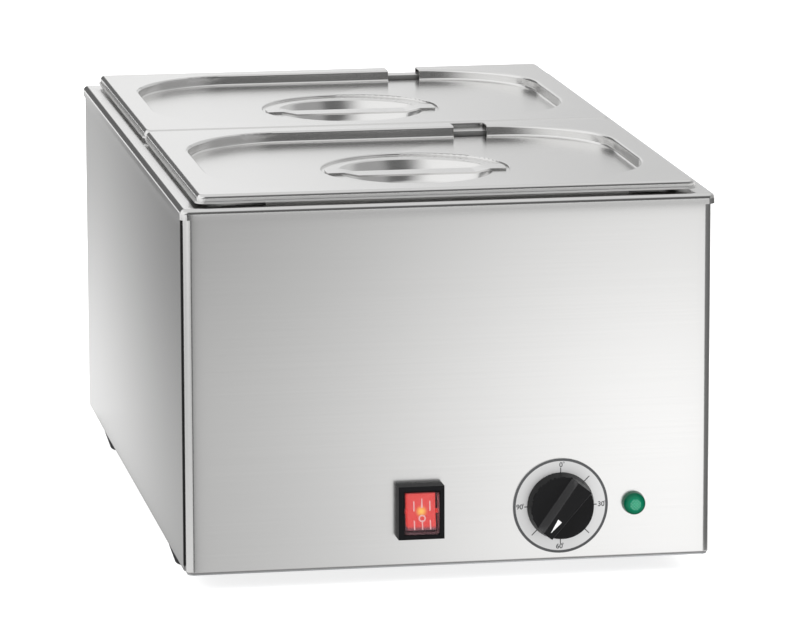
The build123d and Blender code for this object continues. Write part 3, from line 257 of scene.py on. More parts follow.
@dataclass(frozen=True)
class SteelFinish:
    """Brushed or turned metal."""

    name: str
    tone: Colour
    roughness: float
    grain: Grain = Grain.LEVEL
    roughness_spread: float = 0.02
    tone_spread: float = 0.012
    tone_span: Span = (0.35, 0.65)
    cloud_share: float = 0.4
    line_height: float = 3e-7
    line_strength: float = 0.5

    def material(self) -> bpy.types.Material:
        """Build the material of this finish.

        Returns:
            The material.
        """
        material, board, surface = new_material(self.name, Metallic=1.0)
        place = board.add("ShaderNodeTexCoord").outputs["Object"]
        lines_place = board.add("ShaderNodeMapping", {"Vector": place, "Scale": self.grain.value})
        feeds = {"Place": lines_place.outputs[0], "Sheet": place}
        grain = board.add("ShaderNodeGroup", feeds, node_tree=GRAIN_GROUP).outputs
        lines = grain["Lines"]
        board.feed(surface["Roughness"], board.about(lines, self.roughness, self.roughness_spread))
        line_part = board.math("MULTIPLY", lines, 1.0 - self.cloud_share)
        both = board.math("MULTIPLY_ADD", grain["Clouds"], self.cloud_share, line_part)
        dark = tuple(channel * (1.0 - self.tone_spread) for channel in self.tone)
        light = tuple(min(channel * (1.0 + self.tone_spread), 1.0) for channel in self.tone)
        mask = board.ramp(both, *self.tone_span, 0.0, 1.0)
        board.feed(surface["Base Color"], board.blend(mask, dark, light))
        feeds = {"Height": lines, "Distance": self.line_height, "Strength": self.line_strength}
        board.feed(surface["Normal"], board.add("ShaderNodeBump", feeds).outputs[0])
        return material


@dataclass(frozen=True)
class MouldedFinish:
    """Plastic, rubber, ceramic, wool or wire covering."""

    name: str
    colour: Colour
    roughness: float
    fineness: float = 900.0
    roughness_spread: float = 0.08
    specular: float = 0.5
    painted_light_colour: Colour | None = None

    def material(self) -> bpy.types.Material:
        """Build the material of this finish, with a lighter colour on marked flanks where it has one, as painted
        light.

        Returns:
            The material.
        """
        material, board, surface = new_material(
            self.name, Base_Color=(*self.colour, 1.0), Specular_IOR_Level=self.specular
        )
        place = board.add("ShaderNodeTexCoord").outputs["Object"]
        feeds = {"Place": place, "Fineness": self.fineness}
        speckle = board.add("ShaderNodeGroup", feeds, node_tree=SPECKLE_GROUP).outputs["Speckle"]
        board.feed(surface["Roughness"], board.about(speckle, self.roughness, self.roughness_spread))
        # The marked flanks are painted lighter, standing in for the light that falls on them.
        if self.painted_light_colour:
            painted_light_mask = board.add("ShaderNodeAttribute", attribute_name=PAINTED_LIGHT_MASK).outputs["Fac"]
            board.feed(surface["Base Color"], board.blend(painted_light_mask, self.colour, self.painted_light_colour))
        return material


@dataclass(frozen=True)
class PrintFinish:
    """Flat printing ink, or another plain coat."""

    name: str
    colour: Colour
    roughness: float = 0.5

    def material(self) -> bpy.types.Material:
        """Build the material of this finish."""
        return new_material(self.name, Base_Color=(*self.colour, 1.0), Roughness=self.roughness)[0]


@dataclass(frozen=True)
class ClearFinish:
    """Thin clear plastic."""

    name: str
    colour: Colour
    cover: float
    edge_cover: float
    roughness: float = 0.04
    facing_blend: float = 0.4
    facing_span: Span = (0.2, 0.9)

    def material(self) -> bpy.types.Material:
        """Build the material of this finish, denser where it is seen along the wall.

        Returns:
            The material.
        """
        material, board, surface = new_material(
            self.name, Base_Color=(*self.colour, 1.0), Roughness=self.roughness
        )
        facing = board.add("ShaderNodeLayerWeight", {"Blend": self.facing_blend}).outputs["Facing"]
        cover = board.ramp(facing, *self.facing_span, self.cover, self.edge_cover)
        board.feed(surface["Alpha"], cover)
        return material


@dataclass(frozen=True)
class LitFinish:
    """Translucent plastic lit from behind, with a brighter spot where the lamp is and an unlit foot."""

    name: str
    colour: Colour
    glow: Colour
    spot: Colour
    spot_place: Point
    spot_radius: float
    strength: float
    unlit_heights: Span = (-1.0, -0.9)
    unlit_glow: Colour = (0.0, 0.0, 0.0)
    roughness: float = 0.15
    specular: float = 0.5

    def material(self) -> bpy.types.Material:
        """Build the material of this finish.

        Returns:
            The material.
        """
        material, board, surface = new_material(
            self.name, Base_Color=(*self.colour, 1.0), Roughness=self.roughness,
            Specular_IOR_Level=self.specular, Emission_Strength=self.strength,
        )
        place = board.add("ShaderNodeTexCoord").outputs["Object"]
        away = board.add("ShaderNodeVectorMath", {0: place, 1: self.spot_place}, operation="DISTANCE")
        near = board.ramp(away.outputs["Value"], 0.0, self.spot_radius, 1.0, 0.0)
        height = board.add("ShaderNodeSeparateXYZ", {0: place}).outputs["Z"]
        lit = board.ramp(height, *self.unlit_heights, 0.0, 1.0)
        base = board.blend(lit, self.unlit_glow, self.glow)
        board.feed(surface["Emission Color"], board.blend(near, base, self.spot))
        return material


def record_joint(name: str) -> Vector:
    """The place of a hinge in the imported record, in metres."""
    return Vector(next(joint["pos_m"] for joint in frame["joints"] if joint["name"] == name))


NODE_SLOT = {row["node"]: row["material_slot"] for row in frame["record"]["subparts"]}
NODE_BODY = {
    node: body for body, nodes in frame["record"]["behaviour"]["bodies"].items() for node in nodes
}
ROCKER_PIVOT = record_joint("rocker_tip")
DIAL_AXIS = record_joint("dial_turn")

NEON_FORWARD = 5.0 * MM
NEON_RISE = 1.0 * MM
NEON = (ROCKER_PIVOT.x, ROCKER_PIVOT.y - NEON_FORWARD, ROCKER_PIVOT.z + NEON_RISE)
FOOT_DROPS = (10.3 * MM, 8.1 * MM)
UNLIT_FOOT = (ROCKER_PIVOT.z - FOOT_DROPS[0], ROCKER_PIVOT.z - FOOT_DROPS[1])
LAMP_LOW, LAMP_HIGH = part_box("lamp_lens")
LAMP_MIDDLE = (LAMP_LOW + LAMP_HIGH) / 2
LAMP_FRONT = (LAMP_MIDDLE.x, LAMP_LOW.y, LAMP_MIDDLE.z)

FINISHES = {
    "steel_panel": SteelFinish("panel_steel", (0.76, 0.757, 0.75), 0.2),
    "steel_basin": SteelFinish("basin_steel", (0.76, 0.757, 0.75), 0.15),
    "steel_pan": SteelFinish("pan_steel", (0.8, 0.797, 0.79), 0.38, Grain.ACROSS),
    "steel_lid": SteelFinish("lid_steel", (0.79, 0.787, 0.78), 0.2, Grain.ACROSS),
    "base_sheet": SteelFinish("galvanised_sheet", (0.55, 0.56, 0.57), 0.45, Grain.TURNED),
    "bright_fastener": SteelFinish("zinc_plate", (0.62, 0.62, 0.62), 0.3, Grain.TURNED),
    "foot_rubber": MouldedFinish("foot_rubber", (0.03, 0.03, 0.032), 0.6),
    "switch_black": MouldedFinish("bezel_black", (0.009, 0.009, 0.01), 0.45, specular=0.05),
    "rocker_red": LitFinish(
        "rocker_red", colour=(0.12, 0.02, 0.02), glow=(0.88, 0.055, 0.045), spot=(1.3, 0.8, 0.12),
        spot_place=NEON, spot_radius=4.5 * MM, strength=0.75,
        unlit_heights=UNLIT_FOOT, unlit_glow=(0.1, 0.05, 0.07),
    ),
    "clear_cover": ClearFinish("cover_clear", (0.4, 0.24, 0.26), cover=0.05, edge_cover=0.75),
    "dial_grey": SteelFinish("dial_satin", (0.7, 0.7, 0.7), 0.5, Grain.TURNED),
    # The knob's upright bar sides get a lighter colour: painted light where the key light falls on them.
    "knob_black": MouldedFinish(
        "knob_black", (0.008, 0.008, 0.0085), 0.35, specular=0.1, painted_light_colour=(0.042, 0.042, 0.043)
    ),
    "lamp_green": LitFinish(
        "lamp_green", colour=(0.0, 0.05, 0.025), glow=(0.0, 0.02, 0.01), spot=(0.005, 0.3, 0.15),
        spot_place=LAMP_FRONT, spot_radius=9.5 * MM, strength=0.8, specular=0.15,
    ),
    "contact_brass": SteelFinish("contact_brass", (0.78, 0.62, 0.3), 0.3, Grain.TURNED),
    "element_steel": SteelFinish("heated_tube", (0.3, 0.29, 0.27), 0.45, Grain.TURNED),
    "shaft_steel": SteelFinish("turned_shaft", (0.66, 0.66, 0.66), 0.3, Grain.TURNED),
    "mineral_wool": MouldedFinish("mineral_wool", (0.75, 0.7, 0.5), 0.9, fineness=400.0),
    "copper_sensor": SteelFinish("drawn_copper", (0.72, 0.42, 0.28), 0.3, Grain.TURNED),
    "white_ceramic": MouldedFinish("white_ceramic", (0.85, 0.84, 0.8), 0.35),
    "black_plastic": MouldedFinish("black_plastic", (0.05, 0.05, 0.05), 0.45),
    "wire_brown": MouldedFinish("wire_brown", (0.3, 0.16, 0.08), 0.45),
    "wire_blue": MouldedFinish("wire_blue", (0.05, 0.15, 0.5), 0.45),
    "wire_earth": MouldedFinish("wire_earth", (0.35, 0.55, 0.1), 0.45),
}
# Black for the seam strips: painted shade where the seams show only shadow.
SEAM_SHADE = PrintFinish("seam_painted_shade", (0.006, 0.006, 0.006), 0.8)
DIAL_INK = PrintFinish("dial_ink", (0.07, 0.072, 0.075))
MARK_INK = PrintFinish("mark_ink", (0.85, 0.5, 0.5))
POINTER_INK = PrintFinish("pointer_ink", (0.85, 0.85, 0.85))
# Pale green for the lens beads: painted glints.
GLINT_PAINT = PrintFinish("lamp_painted_glint", (0.35, 0.85, 0.65), 0.2)


def new_object(name: str, data: bpy.types.ID) -> bpy.types.Object:
    """Put a new object in the scene, at the origin.

    Args:
        name: The object's name.
        data: Its mesh, curve, light or camera.

    Returns:
        The object.
    """
    thing = bpy.data.objects.new(name, data)
    bpy.context.scene.collection.objects.link(thing)
    return thing


def link_piece(
    name: str, mesh: bpy.types.Mesh, body: str, material: bpy.types.Material
) -> bpy.types.Object:
    """Put a finished mesh in the scene as a piece of one body.

    Args:
        name: The piece's name.
        mesh: Its mesh, already in place.
        body: The body it moves with.
        material: Its finish.

    Returns:
        The new object.
    """
    piece = new_object(name, mesh)
    mesh.materials.clear()
    mesh.materials.append(material)
    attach(piece, body)
    LOG.info("piece %s on %s: %d faces", name, body, len(mesh.polygons))
    return piece


def evaluated_mesh(holder: bpy.types.Object) -> bpy.types.Mesh:
    """Turn an object with live modifiers into a plain mesh and remove the object.

    Args:
        holder: The object, already in the scene.

    Returns:
        The mesh with its modifiers applied.
    """
    graph = bpy.context.evaluated_depsgraph_get()
    mesh = bpy.data.meshes.new_from_object(holder.evaluated_get(graph))
    bpy.data.objects.remove(holder)
    return mesh


def mesh_of(name: str, points: list[Point], faces: list[Face]) -> bpy.types.Mesh:
    """Make a mesh with its faces turned outwards.

    Args:
        name: The mesh's name.
        points: Its points, in place.
        faces: The numbers of each face's points.

    Returns:
        The mesh.
    """
    mesh = bpy.data.meshes.new(name)
    mesh.from_pydata(points, [], faces)
    shape = bmesh.new()
    shape.from_mesh(mesh)
    bmesh.ops.recalc_face_normals(shape, faces=shape.faces)
    shape.to_mesh(mesh)
    shape.free()
    return mesh


def prism_faces(count: int) -> list[Face]:
    """The faces of a prism between two rings of points.

    Args:
        count: The points in a ring.

    Returns:
        The faces of both ends and of the sides.
    """
    faces = [tuple(range(count)), tuple(range(count, 2 * count))]
    faces += [(i, (i + 1) % count, count + (i + 1) % count, count + i) for i in range(count)]
    return faces


def band_faces(count: int, closed: bool) -> list[Face]:
    """The faces of a printed band, from two rows of points behind and the same two in front.

    Args:
        count: The points in a row.
        closed: Whether the band's end joins its start.

    Returns:
        The faces, with those of the two ends where the band is open.
    """
    faces = []
    for step in range(count if closed else count - 1):
        after = (step + 1) % count
        for a, b in ((0, 1), (1, 3), (3, 2), (2, 0)):
            faces.append((a * count + step, a * count + after, b * count + after, b * count + step))
    if not closed:
        faces += [tuple(row * count + step for row in (0, 1, 3, 2)) for step in (0, count - 1)]
    return faces


class RuleTree:
    """A Geometry Nodes tree with named inputs that makes a repeated form."""

    def __init__(self, name: str, inputs: dict[str, type]) -> None:
        """Start the tree.

        Args:
            name: The tree's name.
            inputs: Input names, each with int or float as its kind.
        """
        self.tree = bpy.data.node_groups.new(name, "GeometryNodeTree")
        face = self.tree.interface
        face.new_socket(name="Geometry", in_out="OUTPUT", socket_type="NodeSocketGeometry")
        self.identifiers = {}
        for key, kind in inputs.items():
            socket = "NodeSocketInt" if kind is int else "NodeSocketFloat"
            self.identifiers[key] = face.new_socket(
                name=key, in_out="INPUT", socket_type=socket
            ).identifier
        self.board = NodeBoard(self.tree)
        self.given = self.board.add("NodeGroupInput").outputs

    def end(self, geometry: bpy.types.NodeSocket, material: bpy.types.Material) -> None:
        """Close the tree with real geometry and one material.

        Args:
            geometry: The socket of the repeated form.
            material: Its finish.
        """
        real = self.board.add("GeometryNodeRealizeInstances", {0: geometry})
        feeds = {"Geometry": real.outputs[0], "Material": material}
        dressed = self.board.add("GeometryNodeSetMaterial", feeds)
        self.board.add("NodeGroupOutput", {0: dressed.outputs[0]})

    def mesh(self, name: str, **values: float | int) -> bpy.types.Mesh:
        """Run the tree.

        Args:
            name: The mesh's name.
            values: The value of every input.

        Returns:
            The finished mesh about the origin.
        """
        holder = new_object(name, bpy.data.meshes.new(name))
        modifier = holder.modifiers.new("rule", "NODES")
        modifier.node_group = self.tree
        for key, identifier in self.identifiers.items():
            modifier[identifier] = values[key]
        return evaluated_mesh(holder)


def tick_tree(material: bpy.types.Material) -> RuleTree:
    """Strokes set round a dial, each a thin bar that points to the middle.

    Args:
        material: The strokes' ink.

    Returns:
        The tree.
    """
    sizes = ("First", "Step", "Inner", "Outer", "Width", "Rise")
    tree = RuleTree("dial_ticks", {"Count": int, **dict.fromkeys(sizes, float)})
    board, given = tree.board, tree.given
    points = board.add("GeometryNodePoints", {"Count": given["Count"]})
    index = board.add("GeometryNodeInputIndex").outputs[0]
    angle = board.math("MULTIPLY_ADD", index, given["Step"], given["First"])
    reach = board.math("MULTIPLY", board.math("ADD", given["Inner"], given["Outer"]), 0.5)
    across = board.math("MULTIPLY", board.math("SINE", angle), reach)
    up = board.math("MULTIPLY", board.math("COSINE", angle), reach)
    place = board.add("ShaderNodeCombineXYZ", {0: across, 2: up})
    board.feed(points.inputs["Position"], place.outputs[0])
    length = board.math("SUBTRACT", given["Outer"], given["Inner"])
    size = board.add("ShaderNodeCombineXYZ", {0: given["Width"], 1: given["Rise"], 2: length})
    bar = board.add("GeometryNodeMeshCube", {"Size": size.outputs[0]})
    turn = board.add("ShaderNodeCombineXYZ", {1: angle})
    rotation = board.add("FunctionNodeEulerToRotation", {0: turn.outputs[0]})
    spread = board.add(
        "GeometryNodeInstanceOnPoints",
        {"Points": points.outputs[0], "Instance": bar.outputs[0], "Rotation": rotation.outputs[0]},
    )
    tree.end(spread.outputs[0], material)
    return tree


def facet_tree(material: bpy.types.Material) -> RuleTree:
    """Small beads in diagonal rows over a shallow dome that faces the front.

    Args:
        material: The beads' finish.

    Returns:
        The tree.
    """
    sizes = ("Span", "Reach", "Ball", "Bead")
    tree = RuleTree("lamp_facets", {"Rows": int, **dict.fromkeys(sizes, float)})
    board, given = tree.board, tree.given
    span, rows = given["Span"], given["Rows"]
    sheet = board.add(
        "GeometryNodeMeshGrid", {"Size X": span, "Size Y": span, "Vertices X": rows, "Vertices Y": rows}
    )
    to_the_front = (math.pi / 2, math.pi / 4, 0)
    turned = board.add("GeometryNodeTransform", {"Geometry": sheet.outputs[0], "Rotation": to_the_front})
    place = board.add("GeometryNodeInputPosition").outputs[0]
    away = board.add("ShaderNodeVectorMath", {0: place}, operation="LENGTH").outputs["Value"]
    outside = board.add("FunctionNodeCompare", {0: away, 1: given["Reach"]}, operation="GREATER_THAN")
    kept = board.add("GeometryNodeDeleteGeometry", {0: turned.outputs[0], 1: outside.outputs[0]})
    ball = given["Ball"]
    square = board.math("SUBTRACT", board.math("POWER", ball, 2.0), board.math("POWER", away, 2.0))
    depth = board.math("SUBTRACT", ball, board.math("SQRT", square))
    offset = board.add("ShaderNodeCombineXYZ", {1: depth})
    domed = board.add(
        "GeometryNodeSetPosition", {"Geometry": kept.outputs[0], "Offset": offset.outputs[0]}
    )
    bead = board.add("GeometryNodeMeshIcoSphere", {"Radius": given["Bead"], "Subdivisions": 2})
    spread = board.add(
        "GeometryNodeInstanceOnPoints", {"Points": domed.outputs[0], "Instance": bead.outputs[0]}
    )
    tree.end(spread.outputs[0], material)
    return tree


@dataclass
class SteelShell:
    """The solids in their finishes, with smooth skins over those whose curved faces show."""

    smooth_nodes: tuple[str, ...] = (
        "front_panel", "side_panel_left", "side_panel_right", "back_panel", "water_basin",
        "pan_front", "pan_rear", "lid_front", "lid_rear", "lid_handle_front", "lid_handle_rear",
        "switch_housing", "rocker", "splash_cover", "dial_plate", "knob", "lamp_lens",
        "foot_front_left", "foot_front_right", "foot_rear_left", "foot_rear_right",
        "gland_body", "gland_cap",
    )
    crease: float = math.radians(28.0)
    flank_lean: float = 0.8
    flank_reach: float = 19.5 * MM

    def skin(self, node: str, material: bpy.types.Material) -> None:
        """Put a smooth skin over one solid and let it stand for the solid.

        Args:
            node: The solid's name.
            material: The skin's finish.
        """
        mesh = frame["nodes"][node].data.copy()
        shape = bmesh.new()
        shape.from_mesh(mesh)
        bmesh.ops.remove_doubles(shape, verts=shape.verts, dist=MERGE_DISTANCE)
        shape.to_mesh(mesh)
        shape.free()
        mesh.shade_smooth()
        mesh.set_sharp_from_angle(angle=self.crease)
        holder = new_object(node + "_weighting", mesh)
        weighting = holder.modifiers.new("weighting", "WEIGHTED_NORMAL")
        weighting.keep_sharp = True
        finished = evaluated_mesh(holder)
        if node == "knob":
            self.mark_painted_light(finished)
        piece = link_piece(node + "_skin", finished, NODE_BODY[node], material)
        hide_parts(node)

    def mark_painted_light(self, mesh: bpy.types.Mesh) -> None:
        """Mark the sides of the knob's grip bar, where light is painted as a lighter colour.

        Args:
            mesh: The knob's mesh.
        """
        marks = mesh.attributes.new(PAINTED_LIGHT_MASK, "FLOAT", "FACE")
        for face in mesh.polygons:
            away = math.hypot(face.center.x - DIAL_AXIS.x, face.center.z - DIAL_AXIS.z)
            upright = abs(face.normal.y) < self.flank_lean and away < self.flank_reach
            marks.data[face.index].value = float(upright)

    def dress(self, materials: dict[str, bpy.types.Material]) -> None:
        """Give every solid its finish, and a skin where it shows curved faces.

        Args:
            materials: The material of each slot.
        """
        for node, solid in frame["nodes"].items():
            material = materials[NODE_SLOT[node]]
            if node in self.smooth_nodes:
                self.skin(node, material)
            else:
                solid.data.materials.clear()
                solid.data.materials.append(material)
                LOG.info("solid %s keeps its mesh", node)


@dataclass
class SeamShadowStrips:
    """Black strips in the seams behind the front panel's folded sides: painted shade that stands in for the shadow
    in the gaps.
    """

    outer: float = 171.9 * MM
    inner: float = 170.1 * MM
    front_back: Span = (8.6 * MM, 10.95 * MM)
    end_room: float = 4.0 * MM

    def build(self, material: bpy.types.Material) -> None:
        """Make a painted-shade strip on each side.

        Args:
            material: The strips' black finish.
        """
        low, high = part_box("front_panel")
        y0, y1 = (low.y + step for step in self.front_back)
        for name, side in (("left", -1.0), ("right", 1.0)):
            x0, x1 = sorted((side * self.inner, side * self.outer))
            corners = ((x0, y0), (x1, y0), (x1, y1), (x0, y1))
            ends = (low.z + self.end_room, high.z - self.end_room)
            points = [(x, y, z) for z in ends for x, y in corners]
            mesh = mesh_of("seam_shadow_strip_" + name, points, prism_faces(len(corners)))
            link_piece("seam_shadow_strip_" + name, mesh, "housing", material)


@dataclass
class DialPrint:
    """What is printed on the dial plate: edge ring, strokes, numbers and their degree rings."""

    radius: float = 31.2 * MM
    ring_width: float = 1.75 * MM
    ring_steps: int = 128
    tick_width: float = 0.65 * MM
    tick_start: float = 20.5 * MM
    upright_tick_end: float = 25.1 * MM
    level_tick_end: float = 23.8 * MM
    half_tick_end: float = 26.7 * MM
    numbers: tuple[str, ...] = ("0", "30", "60", "90")
    number_height: float = 3.15 * MM
    number_share: float = 0.7
    number_bold: float = 0.02
    number_radius: tuple[float, ...] = (26.8 * MM, 26.7 * MM, 26.9 * MM, 26.9 * MM)
    number_shift: tuple[float, ...] = (0.2 * MM, 0.0, -0.7 * MM, 0.0)
    degree_radius: float = 0.58 * MM
    degree_stroke: float = 0.24 * MM
    degree_rise: float = 1.65 * MM
    degree_step: Span = (1.2 * MM, 0.57 * MM)
    degree_steps: int = 20
    face_y: float = field(default_factory=lambda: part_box("dial_plate")[0].y)

    def ring_mesh(
        self, name: str, middle: Place, outer: float, stroke: float, steps: int
    ) -> bpy.types.Mesh:
        """A flat printed ring on the dial's face.

        Args:
            name: The mesh's name.
            middle: Its middle across and up.
            outer: Its outer radius.
            stroke: Its width.
            steps: The number of straight runs in it.

        Returns:
            The mesh, in place.
        """
        turns = [2 * math.pi * step / steps for step in range(steps)]
        points = [
            (middle[0] + radius * math.sin(turn), y, middle[1] + radius * math.cos(turn))
            for y in (self.face_y, self.face_y - PRINT_RISE)
            for radius in (outer, outer - stroke)
            for turn in turns
        ]
        return mesh_of(name, points, band_faces(steps, True))

    def number_mesh(self, text: str, middle: Place) -> bpy.types.Mesh:
        """A number as a flat print.

        Args:
            text: The number.
            middle: Its middle across and up.

        Returns:
            The mesh, in place.
        """
        curve = bpy.data.curves.new("number_" + text, "FONT")
        curve.body = text
        curve.align_x = "CENTER"
        curve.align_y = "CENTER"
        size = self.number_height / self.number_share
        curve.extrude = PRINT_RISE / 2 / size
        curve.offset = self.number_bold
        mesh = evaluated_mesh(new_object("number_" + text, curve))
        place = Matrix.Translation((middle[0], self.face_y - PRINT_RISE / 2, middle[1]))
        mesh.transform(place @ Matrix.Rotation(math.pi / 2, 4, "X") @ Matrix.Scale(size, 4))
        return mesh

    def build(self, ink: bpy.types.Material) -> None:
        """Make all prints of the dial.

        Args:
            ink: Their finish.
        """
        axis = (DIAL_AXIS.x, DIAL_AXIS.z)
        edge = self.ring_mesh("dial_edge", axis, self.radius, self.ring_width, self.ring_steps)
        link_piece("dial_edge", edge, "housing", ink)
        ticks = tick_tree(ink)
        quarter = math.pi / 2
        for name, count, first, step, end in (
            ("dial_upright_ticks", 2, 0.0, 2 * quarter, self.upright_tick_end),
            ("dial_level_ticks", 2, quarter, 2 * quarter, self.level_tick_end),
            ("dial_half_ticks", 3, quarter / 2, quarter, self.half_tick_end),
        ):
            mesh = ticks.mesh(
                name, Count=count, First=first, Step=step, Inner=self.tick_start, Outer=end,
                Width=self.tick_width, Rise=PRINT_RISE,
            )
            mesh.transform(Matrix.Translation((axis[0], self.face_y - PRINT_RISE / 2, axis[1])))
            link_piece(name, mesh, "housing", ink)
        rows = zip(self.numbers, self.number_radius, self.number_shift)
        for place, (text, radius, shift) in enumerate(rows):
            angle = place * quarter
            middle = (axis[0] + radius * math.sin(angle) + shift, axis[1] + radius * math.cos(angle))
            number = self.number_mesh(text, middle)
            link_piece("dial_number_" + text, number, "housing", ink)
            across = self.degree_step[0] + self.degree_step[1] * len(text)
            beside = (middle[0] + across, middle[1] + self.degree_rise)
            name = "dial_degree_" + text
            ring = self.ring_mesh(
                name, beside, self.degree_radius, self.degree_stroke, self.degree_steps
            )
            link_piece(name, ring, "housing", ink)


@dataclass
class KnobPointer:
    """The white wedge on the knob's grip bar."""

    base_radius: float = 7.0 * MM
    tip_radius: float = 16.9 * MM
    base_width: float = 3.2 * MM
    angle: float = math.radians(218.0)
    front_y: float = field(default_factory=lambda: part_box("knob")[0].y)

    def build(self, ink: bpy.types.Material) -> None:
        """Make the wedge on the bar's front face.

        Args:
            ink: Its finish.
        """
        half = self.base_width / 2
        outline = [(-half, self.base_radius), (half, self.base_radius), (0.0, self.tip_radius)]
        points = [(x, y, z) for y in (0.0, -PRINT_RISE) for x, z in outline]
        mesh = mesh_of("knob_pointer", points, prism_faces(len(outline)))
        place = Matrix.Translation((DIAL_AXIS.x, self.front_y, DIAL_AXIS.z))
        mesh.transform(place @ Matrix.Rotation(self.angle, 4, "Y"))
        link_piece("knob_pointer", mesh, "dial_knob", ink)


@dataclass
class RockerMarks:
    """The printed marks on the rocker's hollow face."""

    tilt: float = math.radians(9.0)
    rise: float = 5.5 * MM
    hollow: float = 0.9 * MM
    half_height: float = 11.94 * MM
    line_width: float = 0.8 * MM
    line_columns: tuple[float, ...] = (-4.8 * MM, 5.6 * MM)
    line_steps: int = 8
    middle_column: float = 0.4 * MM
    upper_line: Span = (0.3 * MM, 6.8 * MM)
    lower_line: Span = (-11.6 * MM, -5.6 * MM)
    stroke_on: Span = (2.4 * MM, 8.4 * MM)
    stroke_widths: Span = (1.5, 0.8)
    ring_middle: float = -4.4 * MM
    ring_radius: float = 2.35 * MM
    ring_stroke: float = 0.85 * MM
    ring_steps: int = 32

    def on_face(self, x: float, height: float, lift: float) -> Point:
        """A point on the rocker's face.

        Args:
            x: Place across the rocker.
            height: Place up the rocker, along its own face.
            lift: Distance in front of the face.

        Returns:
            The point in the part's frame.
        """
        sag = self.hollow * (1.0 - (height / self.half_height) ** 2)
        local = Vector((x, -self.rise + sag - lift, height))
        return tuple(ROCKER_PIVOT + Matrix.Rotation(-self.tilt, 3, "X") @ local)

    def ribbon(
        self, left: list[Place], right: list[Place], closed: bool
    ) -> tuple[list[Point], list[Face]]:
        """A printed ribbon between two rows of places on the face.

        Args:
            left: Places across and up along one side.
            right: Places along the other side.
            closed: Whether the ribbon's end joins its start.

        Returns:
            Points and faces.
        """
        points = [
            self.on_face(x, z, lift)
            for lift in (0.0, PRINT_RISE)
            for row in (left, right)
            for x, z in row
        ]
        return points, band_faces(len(left), closed)

    def line(
        self, x: float, ends: Span, widths: Span = (1.0, 1.0)
    ) -> tuple[list[Point], list[Face]]:
        """An upright stroke.

        Args:
            x: Its place across the rocker.
            ends: The heights of its foot and its head.
            widths: The widths of its foot and its head, as shares of the line width.

        Returns:
            Points and faces.
        """
        foot, head = (share * self.line_width for share in widths)
        rows = [step / self.line_steps for step in range(self.line_steps + 1)]
        heights = [ends[0] + (ends[1] - ends[0]) * row for row in rows]
        halves = [(foot + (head - foot) * row) / 2 for row in rows]
        left = [(x - half, z) for half, z in zip(halves, heights)]
        right = [(x + half, z) for half, z in zip(halves, heights)]
        return self.ribbon(left, right, False)

    def ring(self) -> tuple[list[Point], list[Face]]:
        """The ring that marks off.

        Returns:
            Points and faces.
        """
        turns = [2 * math.pi * step / self.ring_steps for step in range(self.ring_steps)]
        outer, inner = (
            [
                (self.middle_column + radius * math.cos(turn), self.ring_middle + radius * math.sin(turn))
                for turn in turns
            ]
            for radius in (self.ring_radius, self.ring_radius - self.ring_stroke)
        )
        return self.ribbon(outer, inner, True)

    def build(self, ink: bpy.types.Material) -> None:
        """Make all marks as one piece on the rocker.

        Args:
            ink: Their finish.
        """
        forms = [self.line(x, self.upper_line) for x in self.line_columns]
        forms += [self.line(x, self.lower_line) for x in (*self.line_columns, self.middle_column)]
        forms.append(self.line(self.middle_column, self.stroke_on, self.stroke_widths))
        forms.append(self.ring())
        points, faces = [], []
        for new_points, new_faces in forms:
            faces += [tuple(i + len(points) for i in face) for face in new_faces]
            points += new_points
        mesh = mesh_of("rocker_marks", points, faces)
        link_piece("rocker_marks", mesh, "rocker", ink)


@dataclass
class LampFacets:
    """Pale beads on the lamp's lens: painted glints that make it sparkle."""

    rows: int = 11
    span: float = 14.0 * MM
    reach: float = 3.9 * MM
    ball: float = 8.8 * MM
    bead: float = 0.36 * MM
    sunk_share: float = 0.2

    def build(self, ink: bpy.types.Material) -> None:
        """Make the beads on the lens.

        Args:
            ink: Their pale finish, the painted glints.
        """
        mesh = facet_tree(ink).mesh(
            "lamp_facets", Rows=self.rows, Span=self.span, Reach=self.reach, Ball=self.ball, Bead=self.bead
        )
        sunk = Vector((0.0, self.sunk_share * self.bead, 0.0))
        mesh.transform(Matrix.Translation(Vector(LAMP_FRONT) + sunk))
        mesh.shade_smooth()
        link_piece("lamp_facets", mesh, "housing", ink)


@dataclass(frozen=True)
class Card:
    """An upright card that shows only in mirrors, with light that may change along it and up it."""

    name: str
    low: Point
    high: Point
    along_range: Span
    along_light: Span
    up_range: Span = (0.0, 0.3)
    up_light: Span = (1.0, 1.0)

    def build(self) -> None:
        """Make the card as stage, hidden from everything but mirrored rays."""
        (x0, y0, z0), (x1, y1, z1) = self.low, self.high
        corners = [(x0, y0, z0), (x1, y1, z0), (x1, y1, z1), (x0, y0, z1)]
        mesh = mesh_of(self.name, corners, [(0, 1, 2, 3)])
        material = bpy.data.materials.new(self.name)
        board = bare_board(material)
        place = board.add("ShaderNodeTexCoord").outputs["Object"]
        axes = board.add("ShaderNodeSeparateXYZ", {0: place}).outputs
        along = axes["X"] if x1 > x0 else axes["Y"]
        level = board.math(
            "MULTIPLY", board.ramp(along, *self.along_range, *self.along_light),
            board.ramp(axes["Z"], *self.up_range, *self.up_light),
        )
        glow = board.add("ShaderNodeEmission", {"Strength": level})
        board.add("ShaderNodeOutputMaterial", {0: glow.outputs[0]})
        mesh.materials.append(material)
        card = new_object(self.name, mesh)
        card.visible_camera = False
        card.visible_diffuse = False
        card.visible_shadow = False
        card.visible_transmission = False


@dataclass(frozen=True)
class DarkPool:
    """A round place on the floor that shows darker in the metal."""

    middle: Point
    reach: float
    darkness: float


